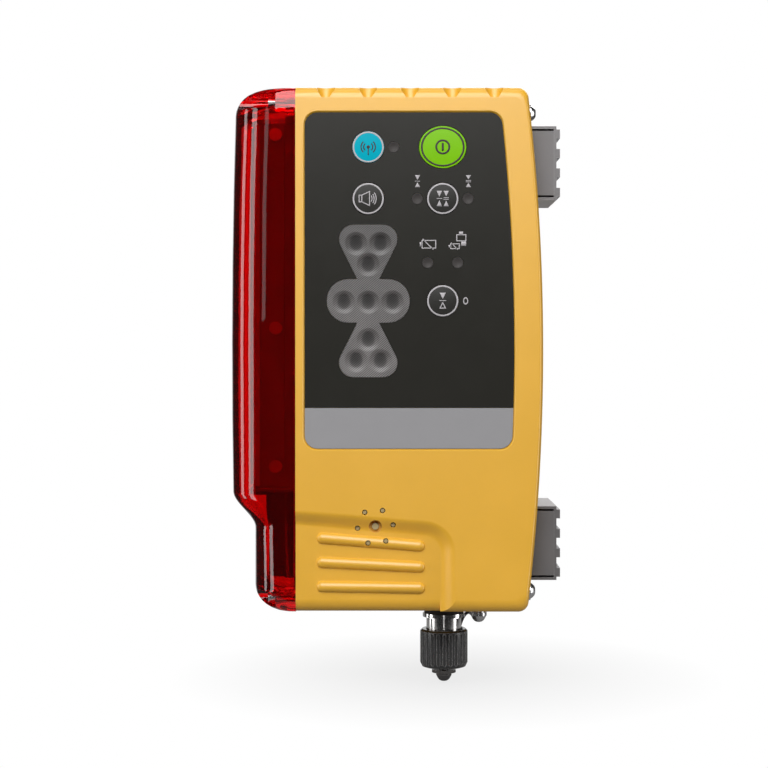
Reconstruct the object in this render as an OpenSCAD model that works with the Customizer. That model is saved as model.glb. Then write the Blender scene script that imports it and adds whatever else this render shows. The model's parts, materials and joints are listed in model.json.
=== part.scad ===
// Wireless laser receiver for earth-moving machines: a bowed two-shell case with a
// red sensor window on its left side, two magnet feet on its right side, a key panel
// in front, a battery door behind and a capped power socket below.
// Built in millimetres with the window seam at x = 0, mid depth at y = 0 and the
// case's foot at z = 0, then moved so that the plane of the magnet poles is the origin.

/* [Case] */
// Height of the case
body_h = 232; // [229:1:238]
// Width of the case at its top and bottom ends
end_w = 102.5; // [101:0.5:107]
// How far the right side bows out at mid height
bulge = 7; // [5:0.5:8]
// Depth of the case from front to back
body_d = 72; // [71:0.5:78]
// Depth of the front shell
front_d = 12; // [11.5:0.1:12.5]
// Thickness of the seal between the shells
seal_t = 1; // [0.8:0.1:1.3]
// Wall thickness of both shells
wall = 3; // [2.6:0.1:3.2]
// Radius of the case corners seen from the front
corner_r = 4.5; // [3:0.5:6]
// Fillet along the top front edge
top_fillet = 5; // [4:0.5:6]
// Fillet along the bottom front edge
foot_fillet = 6; // [4:0.5:6.5]
// Fillet along the right front edge
side_fillet = 2; // [1:0.5:3]
// Fillet round the back face
back_fillet = 4; // [2:0.5:4.5]

/* [Top scoops] */
// Number of scoops in the top front edge
scoop_n = 5; // [3:1:5]
// Distance between scoops
scoop_pitch = 18.6; // [16:0.2:19]
// Distance of the first scoop from the window seam
scoop_first = 13.3; // [11:0.1:15]
// Width of a scoop at the top
scoop_w = 8.8; // [7:0.2:10]
// Width of a scoop at its foot
scoop_foot_w = 5.3; // [4:0.1:6]
// Height of a scoop
scoop_h = 4.8; // [3:0.2:5]

/* [Grip] */
// Height of the grip recess at the window seam
grip_h = 44; // [42:0.5:45]
// Fall of the recess's upper edge towards its corner
grip_fall = 5.4; // [3:0.2:6]
// Width of the grip recess
grip_w = 69.5; // [67:0.5:72]
// Corner radius of the grip recess
grip_r = 13; // [9:0.5:14]
// Depth of the grip recess
grip_depth = 3; // [2.5:0.1:3.2]
// Width of the curved step round the grip recess
grip_slope = 7; // [5:0.5:8]
// Length of a grip rib
rib_l = 48.4; // [40:0.4:49]
// Radius of a grip rib
rib_r = 2.65; // [2.2:0.05:2.8]

/* [Control panel] */
// Distance of the panel from the window seam
panel_left = 4; // [3.5:0.1:5]
// Distance of the panel from the bowed right side
panel_gap = 13; // [12:0.2:14]
// Height of the panel's lower edge
panel_low = 72.3; // [69:0.1:74]
// Height of the panel's upper edge
panel_high = 220.6; // [219:0.1:222]
// Corner radius of the panel
panel_r = 5.7; // [4:0.1:7]
// Depth of the recess that the panel lies in
panel_recess = 1.2; // [1.1:0.1:1.5]
// Thickness of the panel sheet
panel_t = 1; // [0.6:0.1:1]
// Height of the bare strip at the panel's foot
strip_h = 18; // [15:0.5:19]

/* [Keys] */
// Diameter of a round key
key_d = 13.8; // [12:0.1:14]
// Width of the oval power key
power_w = 20.7; // [19:0.1:21]
// Height of the oval power key
power_h = 18.5; // [17:0.1:19]
// Gap round each key
key_gap = 0.3; // [0.25:0.05:0.4]
// Travel of a key
key_travel = 0.8; // [0.4:0.1:0.9]
// How far a key stands out of the panel
key_proud = 0.7; // [0.4:0.1:0.9]
// Distance of the left key column from the window seam
key_left_x = 32.1; // [31:0.1:33]
// Distance of the right key column from the window seam
key_right_x = 64.9; // [64:0.1:66]
// Height of the top key row
key_top_z = 205.2; // [204:0.1:206]
// Height of the second key row
key_mid_z = 182.5; // [182:0.1:183]
// Diameter of an indicator window
dot_d = 4.8; // [4:0.1:5]

/* [Display] */
// Height of the display's centre line
lens_z = 137.5; // [137:0.1:138]
// Length of the level pill
pill_w = 36.5; // [35:0.5:37]
// Height of the level pill
pill_h = 19.1; // [18:0.1:19.6]
// Width of an arrow
arrow_w = 25.7; // [24:0.1:26]
// Distance from the centre line to the tip row of an arrow
arrow_reach = 33.6; // [32:0.1:34]
// Width of an arrow where it meets the pill
arrow_neck = 9.5; // [8:0.5:11]
// Corner radius of an arrow
arrow_r = 6.4; // [5:0.1:6.6]
// Diameter of a display lamp
led_d = 5; // [3:0.5:5]

/* [Window] */
// Reach of the red window to the left at mid height
nose = 30.8; // [30:0.1:32]
// Loss of that reach towards the top
nose_bow = 2; // [1:0.2:3]
// Reach of the narrow lower part
chin = 20; // [19:0.2:22]
// Height where the narrow lower part begins to widen
neck_low = 35.5; // [34:0.5:37]
// Height where the window has its full reach
neck_high = 51.5; // [50:0.5:53]
// Depth of the window from front to back
window_d = 66; // [64:0.5:68]
// Rounding of the window's ends
window_r = 10; // [9:0.5:12]
// Wall thickness of the window
window_wall = 2.5; // [2:0.1:3]
// Thickness of the seal in the window's groove
window_seal = 1; // [0.8:0.1:1.2]

/* [Magnet feet] */
// Distance between the two feet, centre to centre
foot_spacing = 170; // [166:0.5:172]
// Drop of the pair's middle below mid height
foot_drop = 1.5; // [0:0.5:2]
// Height of a foot
foot_h = 33; // [31:0.5:35]
// Depth of a foot from front to back
foot_d = 46; // [42:1:47]
// Thickness of a foot from its seat to its plate
foot_t = 12.2; // [12:0.2:15]
// Height of a pole rib
pole_h = 4; // [3:0.2:5]
// How far a pole rib stands out of the plate
pole_out = 1.6; // [1:0.1:2]
// Distance between pole ribs
pole_pitch = 8.7; // [7.5:0.1:9]

/* [Power socket] */
// Distance of the socket from the window seam
socket_x = 66.3; // [64:0.1:67]
// Outside diameter of the socket thread
socket_d = 16; // [15:0.5:16]
// Diameter of the socket flange
flange_d = 19.4; // [18:0.1:19.5]
// Length of the socket's neck above its flange
neck_l = 3.7; // [3:0.1:4.5]
// Length of the socket flange
flange_t = 1.7; // [1.5:0.1:2.5]
// Length of the socket below its flange
socket_l = 16.6; // [15:0.1:17]
// Outside diameter of the dust cap
cap_d = 21.8; // [20.5:0.1:22]
// Length of the dust cap
cap_l = 17.6; // [17.5:0.1:19]
// Number of flutes round the dust cap
flute_n = 24; // [18:1:28]
// Diameter of the cap's lanyard
lanyard_d = 1.5; // [1.2:0.1:1.6]

/* [Battery bay] */
// Diameter of a cell
cell_d = 26.2; // [25.5:0.1:26.2]
// Length of a cell
cell_l = 50; // [48:0.5:50]
// Distance of the bay's middle from the window seam
bay_x = 48; // [47.5:0.1:49]
// Thickness of the battery door
door_t = 4; // [3.5:0.1:4.5]
// Diameter of the door's hinge pin
pin_d = 2.5; // [2:0.1:3]

/* [Hidden] */
$fn = 48;
// Overrun of every cut, thickness of a loft's slabs, and small gaps
over = 1;
skin = 0.02;
fit = 0.15;
run_gap = 0.3;
// Steps along the bowed side, round a corner and over a fillet
arc_n = 32;
round_n = 8;
fillet_n = 7;

// Levels from front to back
y_front = -body_d / 2;
y_back = body_d / 2;
y_split = y_front + front_d;
y_rear = y_split + seal_t;
panel_wall = 2.4;
panel_floor = y_front + panel_recess;
panel_face = panel_floor - panel_t;
y_wall = panel_floor + panel_wall;
grip_floor = y_front + grip_depth;
y_low_wall = grip_floor + panel_wall;
low_wall_z = grip_h + wall;

// The bowed right side, and the seats of the magnet feet on it
bow_r = (pow(body_h / 2, 2) + pow(bulge, 2)) / (2 * bulge);
foot_mid_z = body_h / 2 - foot_drop;
foot_zs = [foot_mid_z - foot_spacing / 2, foot_mid_z + foot_spacing / 2];
seat_bite = 0.4;
foot_y = y_rear + foot_d / 2;
foot_seat_x = side_x(foot_zs[1] + foot_h / 2) - seat_bite;
foot_face_x = foot_seat_x + foot_t;
pole_x = foot_face_x + pole_out;
inner_x = min(end_w, foot_seat_x) - wall;

// Points of a corner at b between a and c, rounded to radius r
function unit(v) = v / norm(v);
function cross_2d(u, v) = u[0] * v[1] - u[1] * v[0];
function corner(a, b, c, r) = r <= 0 ? [b] :
    let (u = unit(a - b), v = unit(c - b), half = acos(u * v) / 2,
         mid = b + unit(u + v) * r / sin(half),
         first = b + u * r / tan(half) - mid,
         start = atan2(first[1], first[0]),
         sweep = sign(cross_2d(b - a, c - b)) * (180 - 2 * half))
    [for (k = [0:round_n]) let (t = start + sweep * k / round_n) mid + r * [cos(t), sin(t)]];
function rounded(points, radii) = let (n = len(points))
    [for (i = [0:n - 1]) each corner(points[(i + n - 1) % n], points[i], points[(i + 1) % n], radii[i])];
function box_points(x0, z0, x1, z1) = [[x0, z0], [x1, z0], [x1, z1], [x0, z1]];
function round_box(x0, z0, x1, z1, r) = rounded(box_points(x0, z0, x1, z1), [r, r, r, r]);

// Outline with a straight left edge and a right edge that follows the bowed side
function side_x(z) = end_w + bulge - bow_r + sqrt(pow(bow_r, 2) - pow(z - body_h / 2, 2));
function bowed(left, gap, low, high, r_left, r_right) =
    let (low_end = [side_x(low) - gap, low], high_end = [side_x(high) - gap, high],
         bow = [for (k = [1:arc_n - 1]) let (z = low + (high - low) * k / arc_n)
                if (z > low + r_right && z < high - r_right) [side_x(z) - gap, z]])
    concat(corner([left, high], [left, low], low_end, r_left),
           corner([left, low], low_end, bow[0], r_right),
           bow,
           corner(bow[len(bow) - 1], high_end, [left, high], r_right),
           corner(high_end, [left, high], [left, low], r_left));

// A front-view outline given depth t from y, and round bars along each axis
module slab(y, t) translate([0, y + t, 0]) rotate([90, 0, 0]) linear_extrude(t) children();
module along_x(y, z, x0, x1, d) translate([x0, y, z]) rotate([0, 90, 0]) cylinder(d = d, h = x1 - x0);
module along_y(x, z, y0, y1, d) translate([x, y1, z]) rotate([90, 0, 0]) cylinder(d = d, h = y1 - y0);
module along_z(x, y, z0, z1, d) translate([x, y, z0]) cylinder(d = d, h = z1 - z0);
module block(low, high) translate(low) cube(high - low);
// The move from the window seam to the plane of the magnet poles
module seat() translate([-pole_x, 0, -foot_mid_z]) children();

// Case screws stand in towers at the corners and half way up
tower_r = 8;
tower_in = 10;
screw_d = 4;
screw_hole_d = 4.5;
screw_pilot_d = 3.9;
screw_head_d = 7.4;
screw_head_h = 3;
screw_well_d = 8.4;
screw_seat = 14;
screw_bite = 7;
tower_xs = [tower_in, inner_x - tower_r + over];
tower_zs = [tower_in, body_h / 2, body_h - tower_in];
module at_towers() for (x = tower_xs, z = tower_zs) translate([x, 0, z]) children();
module towers(y0, y1) at_towers() along_y(0, 0, y0, y1, 2 * tower_r);

// Case outlines
module case_outline() polygon(bowed(0, 0, 0, body_h, 0, corner_r));
cavity_r = 3;
module cavity_outline(low, high) polygon(round_box(wall, low, inner_x, high, cavity_r));

// Key and indicator places, left column first
zero_z = lens_z;
round_keys = [[key_left_x, key_top_z], [key_left_x, key_mid_z], [key_right_x, key_mid_z], [key_right_x, zero_z]];
power_place = [key_right_x, key_top_z];
dot_side = 11.2;
low_dot_side = 6.6;
low_dot_rise = 16.8;
dots = [[key_left_x + dot_side, key_top_z], [key_right_x - dot_side, key_mid_z],
        [key_right_x + dot_side, key_mid_z], [key_right_x - low_dot_side, zero_z + low_dot_rise],
        [key_right_x + low_dot_side, zero_z + low_dot_rise]];
oval_n = 40;
function oval(w, h) = [for (k = [0:oval_n - 1]) let (t = 360 * k / oval_n) [w / 2 * cos(t), h / 2 * sin(t)]];
module key_holes(y0, y1) {
    for (p = round_keys) along_y(p[0], p[1], y0, y1, key_d + 2 * key_gap);
    slab(y0, y1 - y0) translate(power_place) polygon(oval(power_w + 2 * key_gap, power_h + 2 * key_gap));
}
module dot_holes(y0, y1) for (p = dots) along_y(p[0], p[1], y0, y1, dot_d + 2 * fit);

// Display outline: a level pill with an arrow above and one below, grown by g all round
function arrow_lean(foot, mid, r) = atan2(mid[0] - foot[0], mid[1] - foot[1]) + asin(r / norm(mid - foot));
function arrow(g) =
    let (foot = [arrow_neck / 2 + g, pill_h / 2 + g], r = arrow_r + g,
         mid = [arrow_w / 2 - arrow_r, arrow_reach - arrow_r], reach = arrow_reach + g,
         tip = foot[0] + (reach - foot[1]) * tan(arrow_lean(foot, mid, r)))
    rounded([[-foot[0], 0], [foot[0], 0], foot, [tip, reach], [-tip, reach], [-foot[0], foot[1]]],
            [0, 0, 0, r, r, 0]);
pill_corner_share = 0.49;
module lens_outline(g) translate([key_left_x, lens_z]) {
    polygon(round_box(-pill_w / 2 - g, -pill_h / 2 - g, pill_w / 2 + g, pill_h / 2 + g,
                      pill_corner_share * (pill_h + 2 * g)));
    polygon(arrow(g));
    mirror([0, 1]) polygon(arrow(g));
}

// Sound holes: six round a vent
sound_x = 35.2;
sound_z = 38;
sound_ring_d = 15.8;
sound_hole_d = 2.4;
sound_n = 6;
sound_turn = 6;
vent_d = 5.7;
vent_floor = 0.8;
vent_floor_y = y_low_wall - vent_floor;
vent_pin_d = 2.9;
module at_sound_holes() for (k = [0:sound_n - 1]) let (t = 360 * k / sound_n + sound_turn)
    translate([sound_x + sound_ring_d / 2 * cos(t), 0, sound_z + sound_ring_d / 2 * sin(t)]) children();

// Front shell: filleted shell with scoops, panel recess, grip recess, ribs and holes
module front_solid() hull() {
    for (k = [0:fillet_n - 1]) let (s = 1 - sin(90 * k / fillet_n), t = 1 - cos(90 * k / fillet_n))
        slab(y_front + top_fillet * t, skin)
            polygon(bowed(0, side_fillet * s, foot_fillet * s, body_h - top_fillet * s, 0, corner_r));
    slab(y_front + top_fillet, front_d - top_fillet) case_outline();
}
grip_out_share = 0.2;
grip_n = 10;
function grip_points(inset) = rounded([[-over, -over], [grip_w - inset, -over],
    [grip_w - inset, grip_h - grip_fall - inset], [-over, grip_h - inset]], [0, 0, grip_r - inset, 0]);
function grip_ring(s, y) = [for (p = grip_points(grip_slope * (s - grip_out_share))) [p[0], y, p[1]]];
module grip_cut() difference() {
    skin_of(concat(
        [grip_ring(1, y_front + grip_depth + top_fillet)],
        [for (k = [grip_n:-1:0]) let (s = k / grip_n) grip_ring(s, y_front + grip_depth * smooth(s))],
        [grip_ring(0, y_front - over)]));
    translate([0, grip_depth, 0]) front_solid();
}
rib_n = 3;
rib_left = 9;
rib_low_z = 11.1;
rib_pitch = 10;
rib_fall = 0.8;
rib_fall_step = 1.5;
rib_sink = 0.7;
module capsule(l, r) rotate_extrude() polygon(concat(
    [for (k = [0:round_n]) let (t = 90 * k / round_n) [r * sin(t), -l / 2 + r - r * cos(t)]],
    [for (k = [0:round_n]) let (t = 90 * k / round_n) [r * cos(t), l / 2 - r + r * sin(t)]]));
module grip_ribs() for (k = [0:rib_n - 1])
    translate([rib_left + rib_l / 2, grip_floor + rib_sink, rib_low_z + k * rib_pitch])
        rotate([0, 90 + atan((rib_fall + k * rib_fall_step) / rib_l), 0]) capsule(rib_l, rib_r);
scoop_back = 2;
module scoops() for (k = [0:scoop_n - 1])
    translate([scoop_first + k * scoop_pitch, y_front + scoop_back, body_h - scoop_h]) {
        cylinder(d1 = scoop_foot_w, d2 = scoop_w, h = scoop_h);
        translate([0, 0, scoop_h]) cylinder(d = scoop_w, h = over);
    }
front_top = body_h - scoop_h - wall;
rim_flare = 0.7;
module recess_rim() hull() {
    slab(y_front - over, over) polygon(bowed(panel_left - rim_flare, panel_gap - rim_flare,
        panel_low - rim_flare, panel_high + rim_flare, panel_r + rim_flare, panel_r + rim_flare));
    slab(y_front + rim_flare - skin, skin)
        polygon(bowed(panel_left, panel_gap, panel_low, panel_high, panel_r, panel_r));
}
module front_case() color("goldenrod") seat() difference() {
    union() {
        difference() {
            front_solid();
            grip_cut();
            scoops();
        }
        grip_ribs();
    }
    slab(y_front - over, panel_recess + over)
        polygon(bowed(panel_left, panel_gap, panel_low, panel_high, panel_r, panel_r));
    recess_rim();
    difference() {
        union() {
            slab(y_low_wall, y_split - y_low_wall + over) cavity_outline(wall, front_top);
            slab(y_wall, y_split - y_wall + over) cavity_outline(low_wall_z, front_top);
        }
        towers(y_front, y_split);
        board_posts();
    }
    key_holes(y_front - over, y_split);
    dot_holes(y_front - over, y_split);
    slab(y_front - over, front_d) lens_outline(fit);
    at_towers() along_y(0, 0, y_split - screw_bite, y_split + over, screw_pilot_d);
    at_board_screws() along_y(0, 0, board_y - board_bite, board_y + over, board_pilot_d);
    at_sound_holes() along_y(0, 0, y_front - over, y_split, sound_hole_d);
    along_y(sound_x, sound_z, y_front - over, vent_floor_y, vent_d);
    along_y(sound_x, sound_z, y_front - over, y_split, vent_pin_d + 2 * fit);
}

// Main board on posts behind the panel
post_l = 5.9;
post_d = 7;
post_in = 4;
board_t = 1.6;
board_low = 53;
board_top_in = 10;
board_high = body_h - board_top_in;
board_gap = 1.2;
board_r = 2;
board_bite = 4;
board_pilot_d = 2.4;
board_hole_d = 3;
board_head_d = 5.2;
board_head_h = 2;
board_y = y_wall + post_l;
board_back = board_y + board_t;
board_x0 = tower_xs[0] + tower_r + board_gap;
board_x1 = tower_xs[1] - tower_r - board_gap;
module at_board_screws()
    for (x = [board_x0 + post_in, board_x1 - post_in], z = [board_low + post_in, board_high - post_in])
        translate([x, 0, z]) children();
module board_posts() at_board_screws() along_y(0, 0, y_front, board_y, post_d);
module main_board() color("darkgreen") seat() difference() {
    slab(board_y, board_t) polygon(round_box(board_x0, board_low, board_x1, board_high, board_r));
    at_board_screws() along_y(0, 0, board_y - over, board_back + over, board_hole_d);
}
module board_screws() color("silver") seat() at_board_screws() {
    along_y(0, 0, board_y - board_bite + run_gap, board_back, board_pilot_d);
    along_y(0, 0, board_back, board_back + board_head_h, board_head_d);
}

// Seal between the shells
seal_in = 0.6;
module case_gasket() color("dimgray") seat() slab(y_split, seal_t) difference() {
    polygon(bowed(seal_in, seal_in, seal_in, body_h - seal_in, 0, corner_r));
    difference() {
        cavity_outline(wall, body_h - wall);
        for (x = tower_xs, z = tower_zs) translate([x, z]) circle(r = tower_r);
    }
    for (x = tower_xs, z = tower_zs) translate([x, z]) circle(d = screw_hole_d);
}
module case_screws() color("silver") seat() at_towers() {
    along_y(0, 0, y_split - screw_bite + run_gap, y_rear + screw_seat, screw_d - fit);
    along_y(0, 0, y_rear + screw_seat, y_rear + screw_seat + screw_head_h, screw_head_d);
}

// Battery bay: two cells beside each other, two above each other, under a hinged door
bay_gap = 0.8;
bay_wall = 2.5;
contact_t = 0.8;
contact_room = 3;
door_seal = 1;
door_rim = 4.5;
door_r = 5;
door_fit = 0.4;
rim_t = 3;
bay_z = body_h / 2;
bay_w = 2 * cell_d + 3 * bay_gap;
bay_h = 2 * cell_l + 2 * contact_room;
bay_x0 = bay_x - bay_w / 2;
bay_z0 = bay_z - bay_h / 2;
door_in_y = y_back - door_t;
bay_top_y = door_in_y - door_seal;
bay_floor_y = bay_top_y - cell_d - bay_gap;
door_x0 = bay_x0 - door_rim;
door_x1 = bay_x0 + bay_w + door_rim;
door_z0 = bay_z0 - door_rim;
door_z1 = bay_z0 + bay_h + door_rim;
knuckle_r = 3;
knuckle_gap = 0.4;
hinge_out = 1.2;
hinge_y = y_back + hinge_out;
hinge_drop = 0.5;
hinge_z = door_z0 - knuckle_r - hinge_drop;
knuckle_w = 24;
ear_w = 9;
ear_lift = 0.6;
module bay_box(grow, y0) block([bay_x0 - grow, y0, bay_z0 - grow], [bay_x0 + bay_w + grow, y_back, bay_z0 + bay_h + grow]);
module door_outline(g) polygon(round_box(door_x0 - g, door_z0 - g, door_x1 + g, door_z1 + g, door_r));
ear_x0 = bay_x - knuckle_w / 2 - knuckle_gap - ear_w;
ear_x1 = bay_x + knuckle_w / 2 + knuckle_gap;
pin_run = 0.05;
module hinge_ear(x0) {
    along_x(hinge_y, hinge_z, x0, x0 + ear_w, 2 * knuckle_r);
    block([x0, y_back - back_fillet, hinge_z - knuckle_r + ear_lift], [x0 + ear_w, hinge_y, hinge_z]);
}

// Rear shell: deep tub with screw towers, battery bay, seats for the feet and the socket
lanyard_x = 82.3;
lanyard_boss_d = 10;
lanyard_boss_h = 9;
lanyard_pilot_d = 3.9;
socket_boss_d = 24;
floor_t = 4;
side_screw_back = 5;
side_screw_low = 7.6;
side_screw_high = 9.7;
side_screw_y = y_rear + side_screw_back;
side_screw_zs = [side_screw_low, body_h - side_screw_high];
side_pad_d = 9;
side_pad_out = 0.6;
side_bite = 5.5;
module rear_solid() hull() {
    slab(y_rear, y_back - back_fillet - y_rear) case_outline();
    for (k = [0:fillet_n - 1]) let (s = 1 - sin(90 * k / fillet_n), t = 1 - cos(90 * k / fillet_n))
        slab(y_back - back_fillet * t - skin, skin) polygon(
            bowed(0, back_fillet * s, back_fillet * s, body_h - back_fillet * s, 0, corner_r));
}
module rear_cavity() difference() {
    slab(y_rear - over, y_back - wall - y_rear + over) cavity_outline(floor_t, body_h - wall);
    towers(y_rear, y_back);
    bay_box(bay_wall, bay_floor_y - bay_wall);
    slab(bay_top_y - rim_t, door_t + rim_t) door_outline(rim_t);
    along_z(lanyard_x, 0, 0, lanyard_boss_h, lanyard_boss_d);
}
foot_room = 0.2;
module foot_seats() for (z = foot_zs)
    block([foot_seat_x, foot_y - foot_d / 2 - foot_room, z - foot_h / 2 - foot_room],
          [pole_x, foot_y + foot_d / 2 + foot_room, z + foot_h / 2 + foot_room]);
module rear_case() color("goldenrod") seat() difference() {
    union() {
        difference() {
            rear_solid();
            foot_seats();
            slab(bay_top_y, door_t + door_seal + over) door_outline(door_fit);
            along_x(hinge_y, hinge_z, bay_x - knuckle_w / 2 - knuckle_gap, bay_x + knuckle_w / 2 + knuckle_gap,
                    2 * knuckle_r + 2 * knuckle_gap);
        }
        hinge_ear(ear_x0);
        hinge_ear(ear_x1);
        for (z = side_screw_zs) along_x(side_screw_y, z, inner_x - wall, side_x(z) + side_pad_out, side_pad_d);
    }
    rear_cavity();
    bay_box(0, bay_floor_y);
    at_towers() {
        along_y(0, 0, y_rear - over, y_back + over, screw_hole_d);
        along_y(0, 0, y_rear + screw_seat, y_back + over, screw_well_d);
    }
    along_x(hinge_y, hinge_z, ear_x0 - over, ear_x1 + ear_w + over, pin_d + 2 * pin_run);
    for (z = side_screw_zs) along_x(side_screw_y, z, side_x(z) - side_bite, pole_x, screw_pilot_d);
    at_window_screws() along_x(0, 0, -over, window_bite, window_pilot_d);
    at_foot_screws() along_x(0, 0, foot_seat_x - foot_bite, pole_x, screw_pilot_d);
    along_z(socket_x, 0, -over, floor_t + over, socket_d + 2 * fit);
    along_z(lanyard_x, 0, -over, lanyard_bite, lanyard_pilot_d);
    along_y(bay_x, door_screw_z, bay_top_y - door_screw_bite, bay_top_y + over, door_screw_d);
}

// Battery door with its seal, hinge pin and captive coin screw
door_screw_d = 5;
door_screw_in = 5;
door_screw_bite = 3;
coin_d = 11;
coin_h = 2;
coin_slot_w = 1.8;
coin_slot_h = 1;
coin_gap = 0.1;
door_screw_z = bay_z0 + bay_h + door_rim - door_screw_in - over;
web_t = 2.6;
web_l = 8;
door_lip = 1.2;
seal_gap = 0.1;
module battery_door() color("goldenrod") seat() difference() {
    union() {
        slab(door_in_y, door_t) door_outline(0);
        along_x(hinge_y, hinge_z, bay_x - knuckle_w / 2, bay_x + knuckle_w / 2, 2 * knuckle_r);
        block([bay_x - knuckle_w / 2, hinge_y, hinge_z], [bay_x + knuckle_w / 2, hinge_y + web_t, door_z0 + web_l]);
        block([bay_x - knuckle_w / 2, door_in_y + door_lip, door_z0], [bay_x + knuckle_w / 2, hinge_y + web_t, door_z0 + web_l]);
    }
    along_x(hinge_y, hinge_z, bay_x - knuckle_w, bay_x + knuckle_w, pin_d + 2 * pin_run);
    along_y(bay_x, door_screw_z, door_in_y - over, y_back + over, door_screw_d + 2 * coin_gap);
    along_y(bay_x, door_screw_z, y_back - coin_h, y_back + over, coin_d + 2 * coin_gap);
}
module door_gasket() color("dimgray") seat() difference() {
    slab(bay_top_y, door_seal - seal_gap) difference() {
        door_outline(0);
        polygon(box_points(bay_x0, bay_z0, bay_x0 + bay_w, bay_z0 + bay_h));
    }
    along_y(bay_x, door_screw_z, bay_top_y - over, door_in_y, door_screw_d + 2 * run_gap);
}
module door_pin() color("silver") seat() along_x(hinge_y, hinge_z, ear_x0, ear_x1 + ear_w, pin_d);
module door_screw() color("silver") seat() difference() {
    union() {
        along_y(bay_x, door_screw_z, door_in_y, y_back - coin_h, door_screw_d);
        along_y(bay_x, door_screw_z, y_back - coin_h, y_back, coin_d);
    }
    block([bay_x - coin_d, y_back - coin_slot_h, door_screw_z - coin_slot_w / 2],
          [bay_x + coin_d, y_back + over, door_screw_z + coin_slot_w / 2]);
}
cell_nub_d = 7.5;
cell_nub_h = 1.5;
cell_groove = 0.6;
cell_y = bay_top_y - bay_gap / 2 - cell_d / 2;
cell_xs = [bay_x - (cell_d + bay_gap) / 2, bay_x + (cell_d + bay_gap) / 2];
module cell(x, z) {
    along_z(x, cell_y, z, z + cell_l - cell_nub_h - cell_groove, cell_d);
    along_z(x, cell_y, z, z + cell_l - cell_nub_h, cell_d - 2 * cell_groove);
    along_z(x, cell_y, z, z + cell_l - fit, cell_nub_d);
}
module batteries() color("darkslategray") seat()
    for (x = cell_xs, k = [0, 1]) cell(x, bay_z0 + contact_room + k * cell_l);
contact_w = 18;
contact_coil_d = 10;
module battery_contacts() color("silver") seat() for (x = cell_xs) {
    block([x - contact_w / 2, cell_y - contact_w / 2, bay_z0], [x + contact_w / 2, cell_y + contact_w / 2, bay_z0 + contact_t]);
    along_z(x, cell_y, bay_z0, bay_z0 + contact_room - fit, contact_coil_d);
    translate([0, 0, bay_h - contact_t]) block([x - contact_w / 2, cell_y - contact_w / 2, bay_z0],
        [x + contact_w / 2, cell_y + contact_w / 2, bay_z0 + contact_t]);
    along_z(x, cell_y, bay_z0 + bay_h - contact_room, bay_z0 + bay_h, cell_nub_d);
}

// Overlay sheet with its cut-outs, and the bare strip at its foot
strip_top = panel_low + strip_h;
module panel_outline() polygon(bowed(panel_left + fit, panel_gap + fit, panel_low + fit, panel_high - fit, panel_r, panel_r));
module control_panel() color("darkslategray") seat() difference() {
    slab(panel_face, panel_t) difference() {
        panel_outline();
        translate([0, panel_low]) square([end_w + bulge, strip_h + fit]);
        lens_outline(fit);
    }
    key_holes(y_front - over, y_split);
    dot_holes(y_front - over, y_split);
}
module name_strip() color("darkgray") seat() slab(panel_face, panel_t) intersection() {
    panel_outline();
    translate([0, panel_low]) square([end_w + bulge, strip_h]);
}

// Keys: a domed cap in its well, a collar behind the wall and a stem over a switch
key_collar = 1;
key_collar_t = 1;
key_slack = 0.1;
key_crown = 0.45;
stem_d = 5;
stem_l = 0.4;
switch_gap = 0.2;
switch_w = 6;
switch_button_d = 3.4;
switch_button_h = 0.5;
dome_n = 5;
key_face = panel_face - key_proud;
collar_front = y_wall + key_slack;
collar_back = collar_front + key_collar_t;
stem_end = collar_back + stem_l;
switch_top = stem_end + key_travel + switch_gap;
module round_key(place) translate([place[0], 0, place[1]]) rotate([90, 0, 0]) rotate_extrude() polygon(concat(
    [[0, -stem_end], [stem_d / 2, -stem_end], [stem_d / 2, -collar_back],
     [key_d / 2 + key_collar, -collar_back], [key_d / 2 + key_collar, -collar_front], [key_d / 2, -collar_front]],
    [for (k = [0:dome_n]) let (s = 1 - k / dome_n) [key_d / 2 * s, -key_face - key_crown * s * s]]));
module wireless_key() color("darkturquoise") seat() round_key(round_keys[0]);
module speaker_key() color("gray") seat() round_key(round_keys[1]);
module deadband_key() color("gray") seat() round_key(round_keys[2]);
module zero_key() color("gray") seat() round_key(round_keys[3]);
dome_tip_share = 0.04;
function power_ring(s, y) = [for (p = oval(power_w * s, power_h * s)) [power_place[0] + p[0], y, power_place[1] + p[1]]];
module power_key() color("yellowgreen") seat() {
    skin_of(concat([power_ring(1, collar_front)],
        [for (k = [0:dome_n]) let (s = 1 - (1 - dome_tip_share) * k / dome_n) power_ring(s, key_face + key_crown * s * s)]));
    slab(collar_front, key_collar_t) translate(power_place)
        polygon(oval(power_w + 2 * key_collar, power_h + 2 * key_collar));
    along_y(power_place[0], power_place[1], collar_back, stem_end, stem_d);
}
module key_switches() color("black") seat() for (p = concat(round_keys, [power_place])) {
    block([p[0] - switch_w / 2, switch_top + switch_button_h, p[1] - switch_w / 2],
          [p[0] + switch_w / 2, board_y, p[1] + switch_w / 2]);
    along_y(p[0], p[1], switch_top, board_y, switch_button_d);
}

// Display window and its lamps, indicator windows and theirs
lens_sink = 0.15;
lens_flange = 1.4;
lens_flange_t = 1;
led_collar = 0.4;
led_collar_h = 1;
led_pitch = 10.7;
led_high = 25.8;
led_low = 16.5;
lens_back = y_wall + lens_flange_t;
led_places = concat(
    [for (k = [-1:1]) [k * led_pitch, 0]],
    [for (side = [-1, 1], k = [-1, 1]) [k * led_pitch / 2, side * led_high]],
    [for (side = [-1, 1]) [0, side * led_low]]);
lens_face = panel_face + lens_sink;
dimple_d = 6.4;
dimple_h = 0.8;
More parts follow.
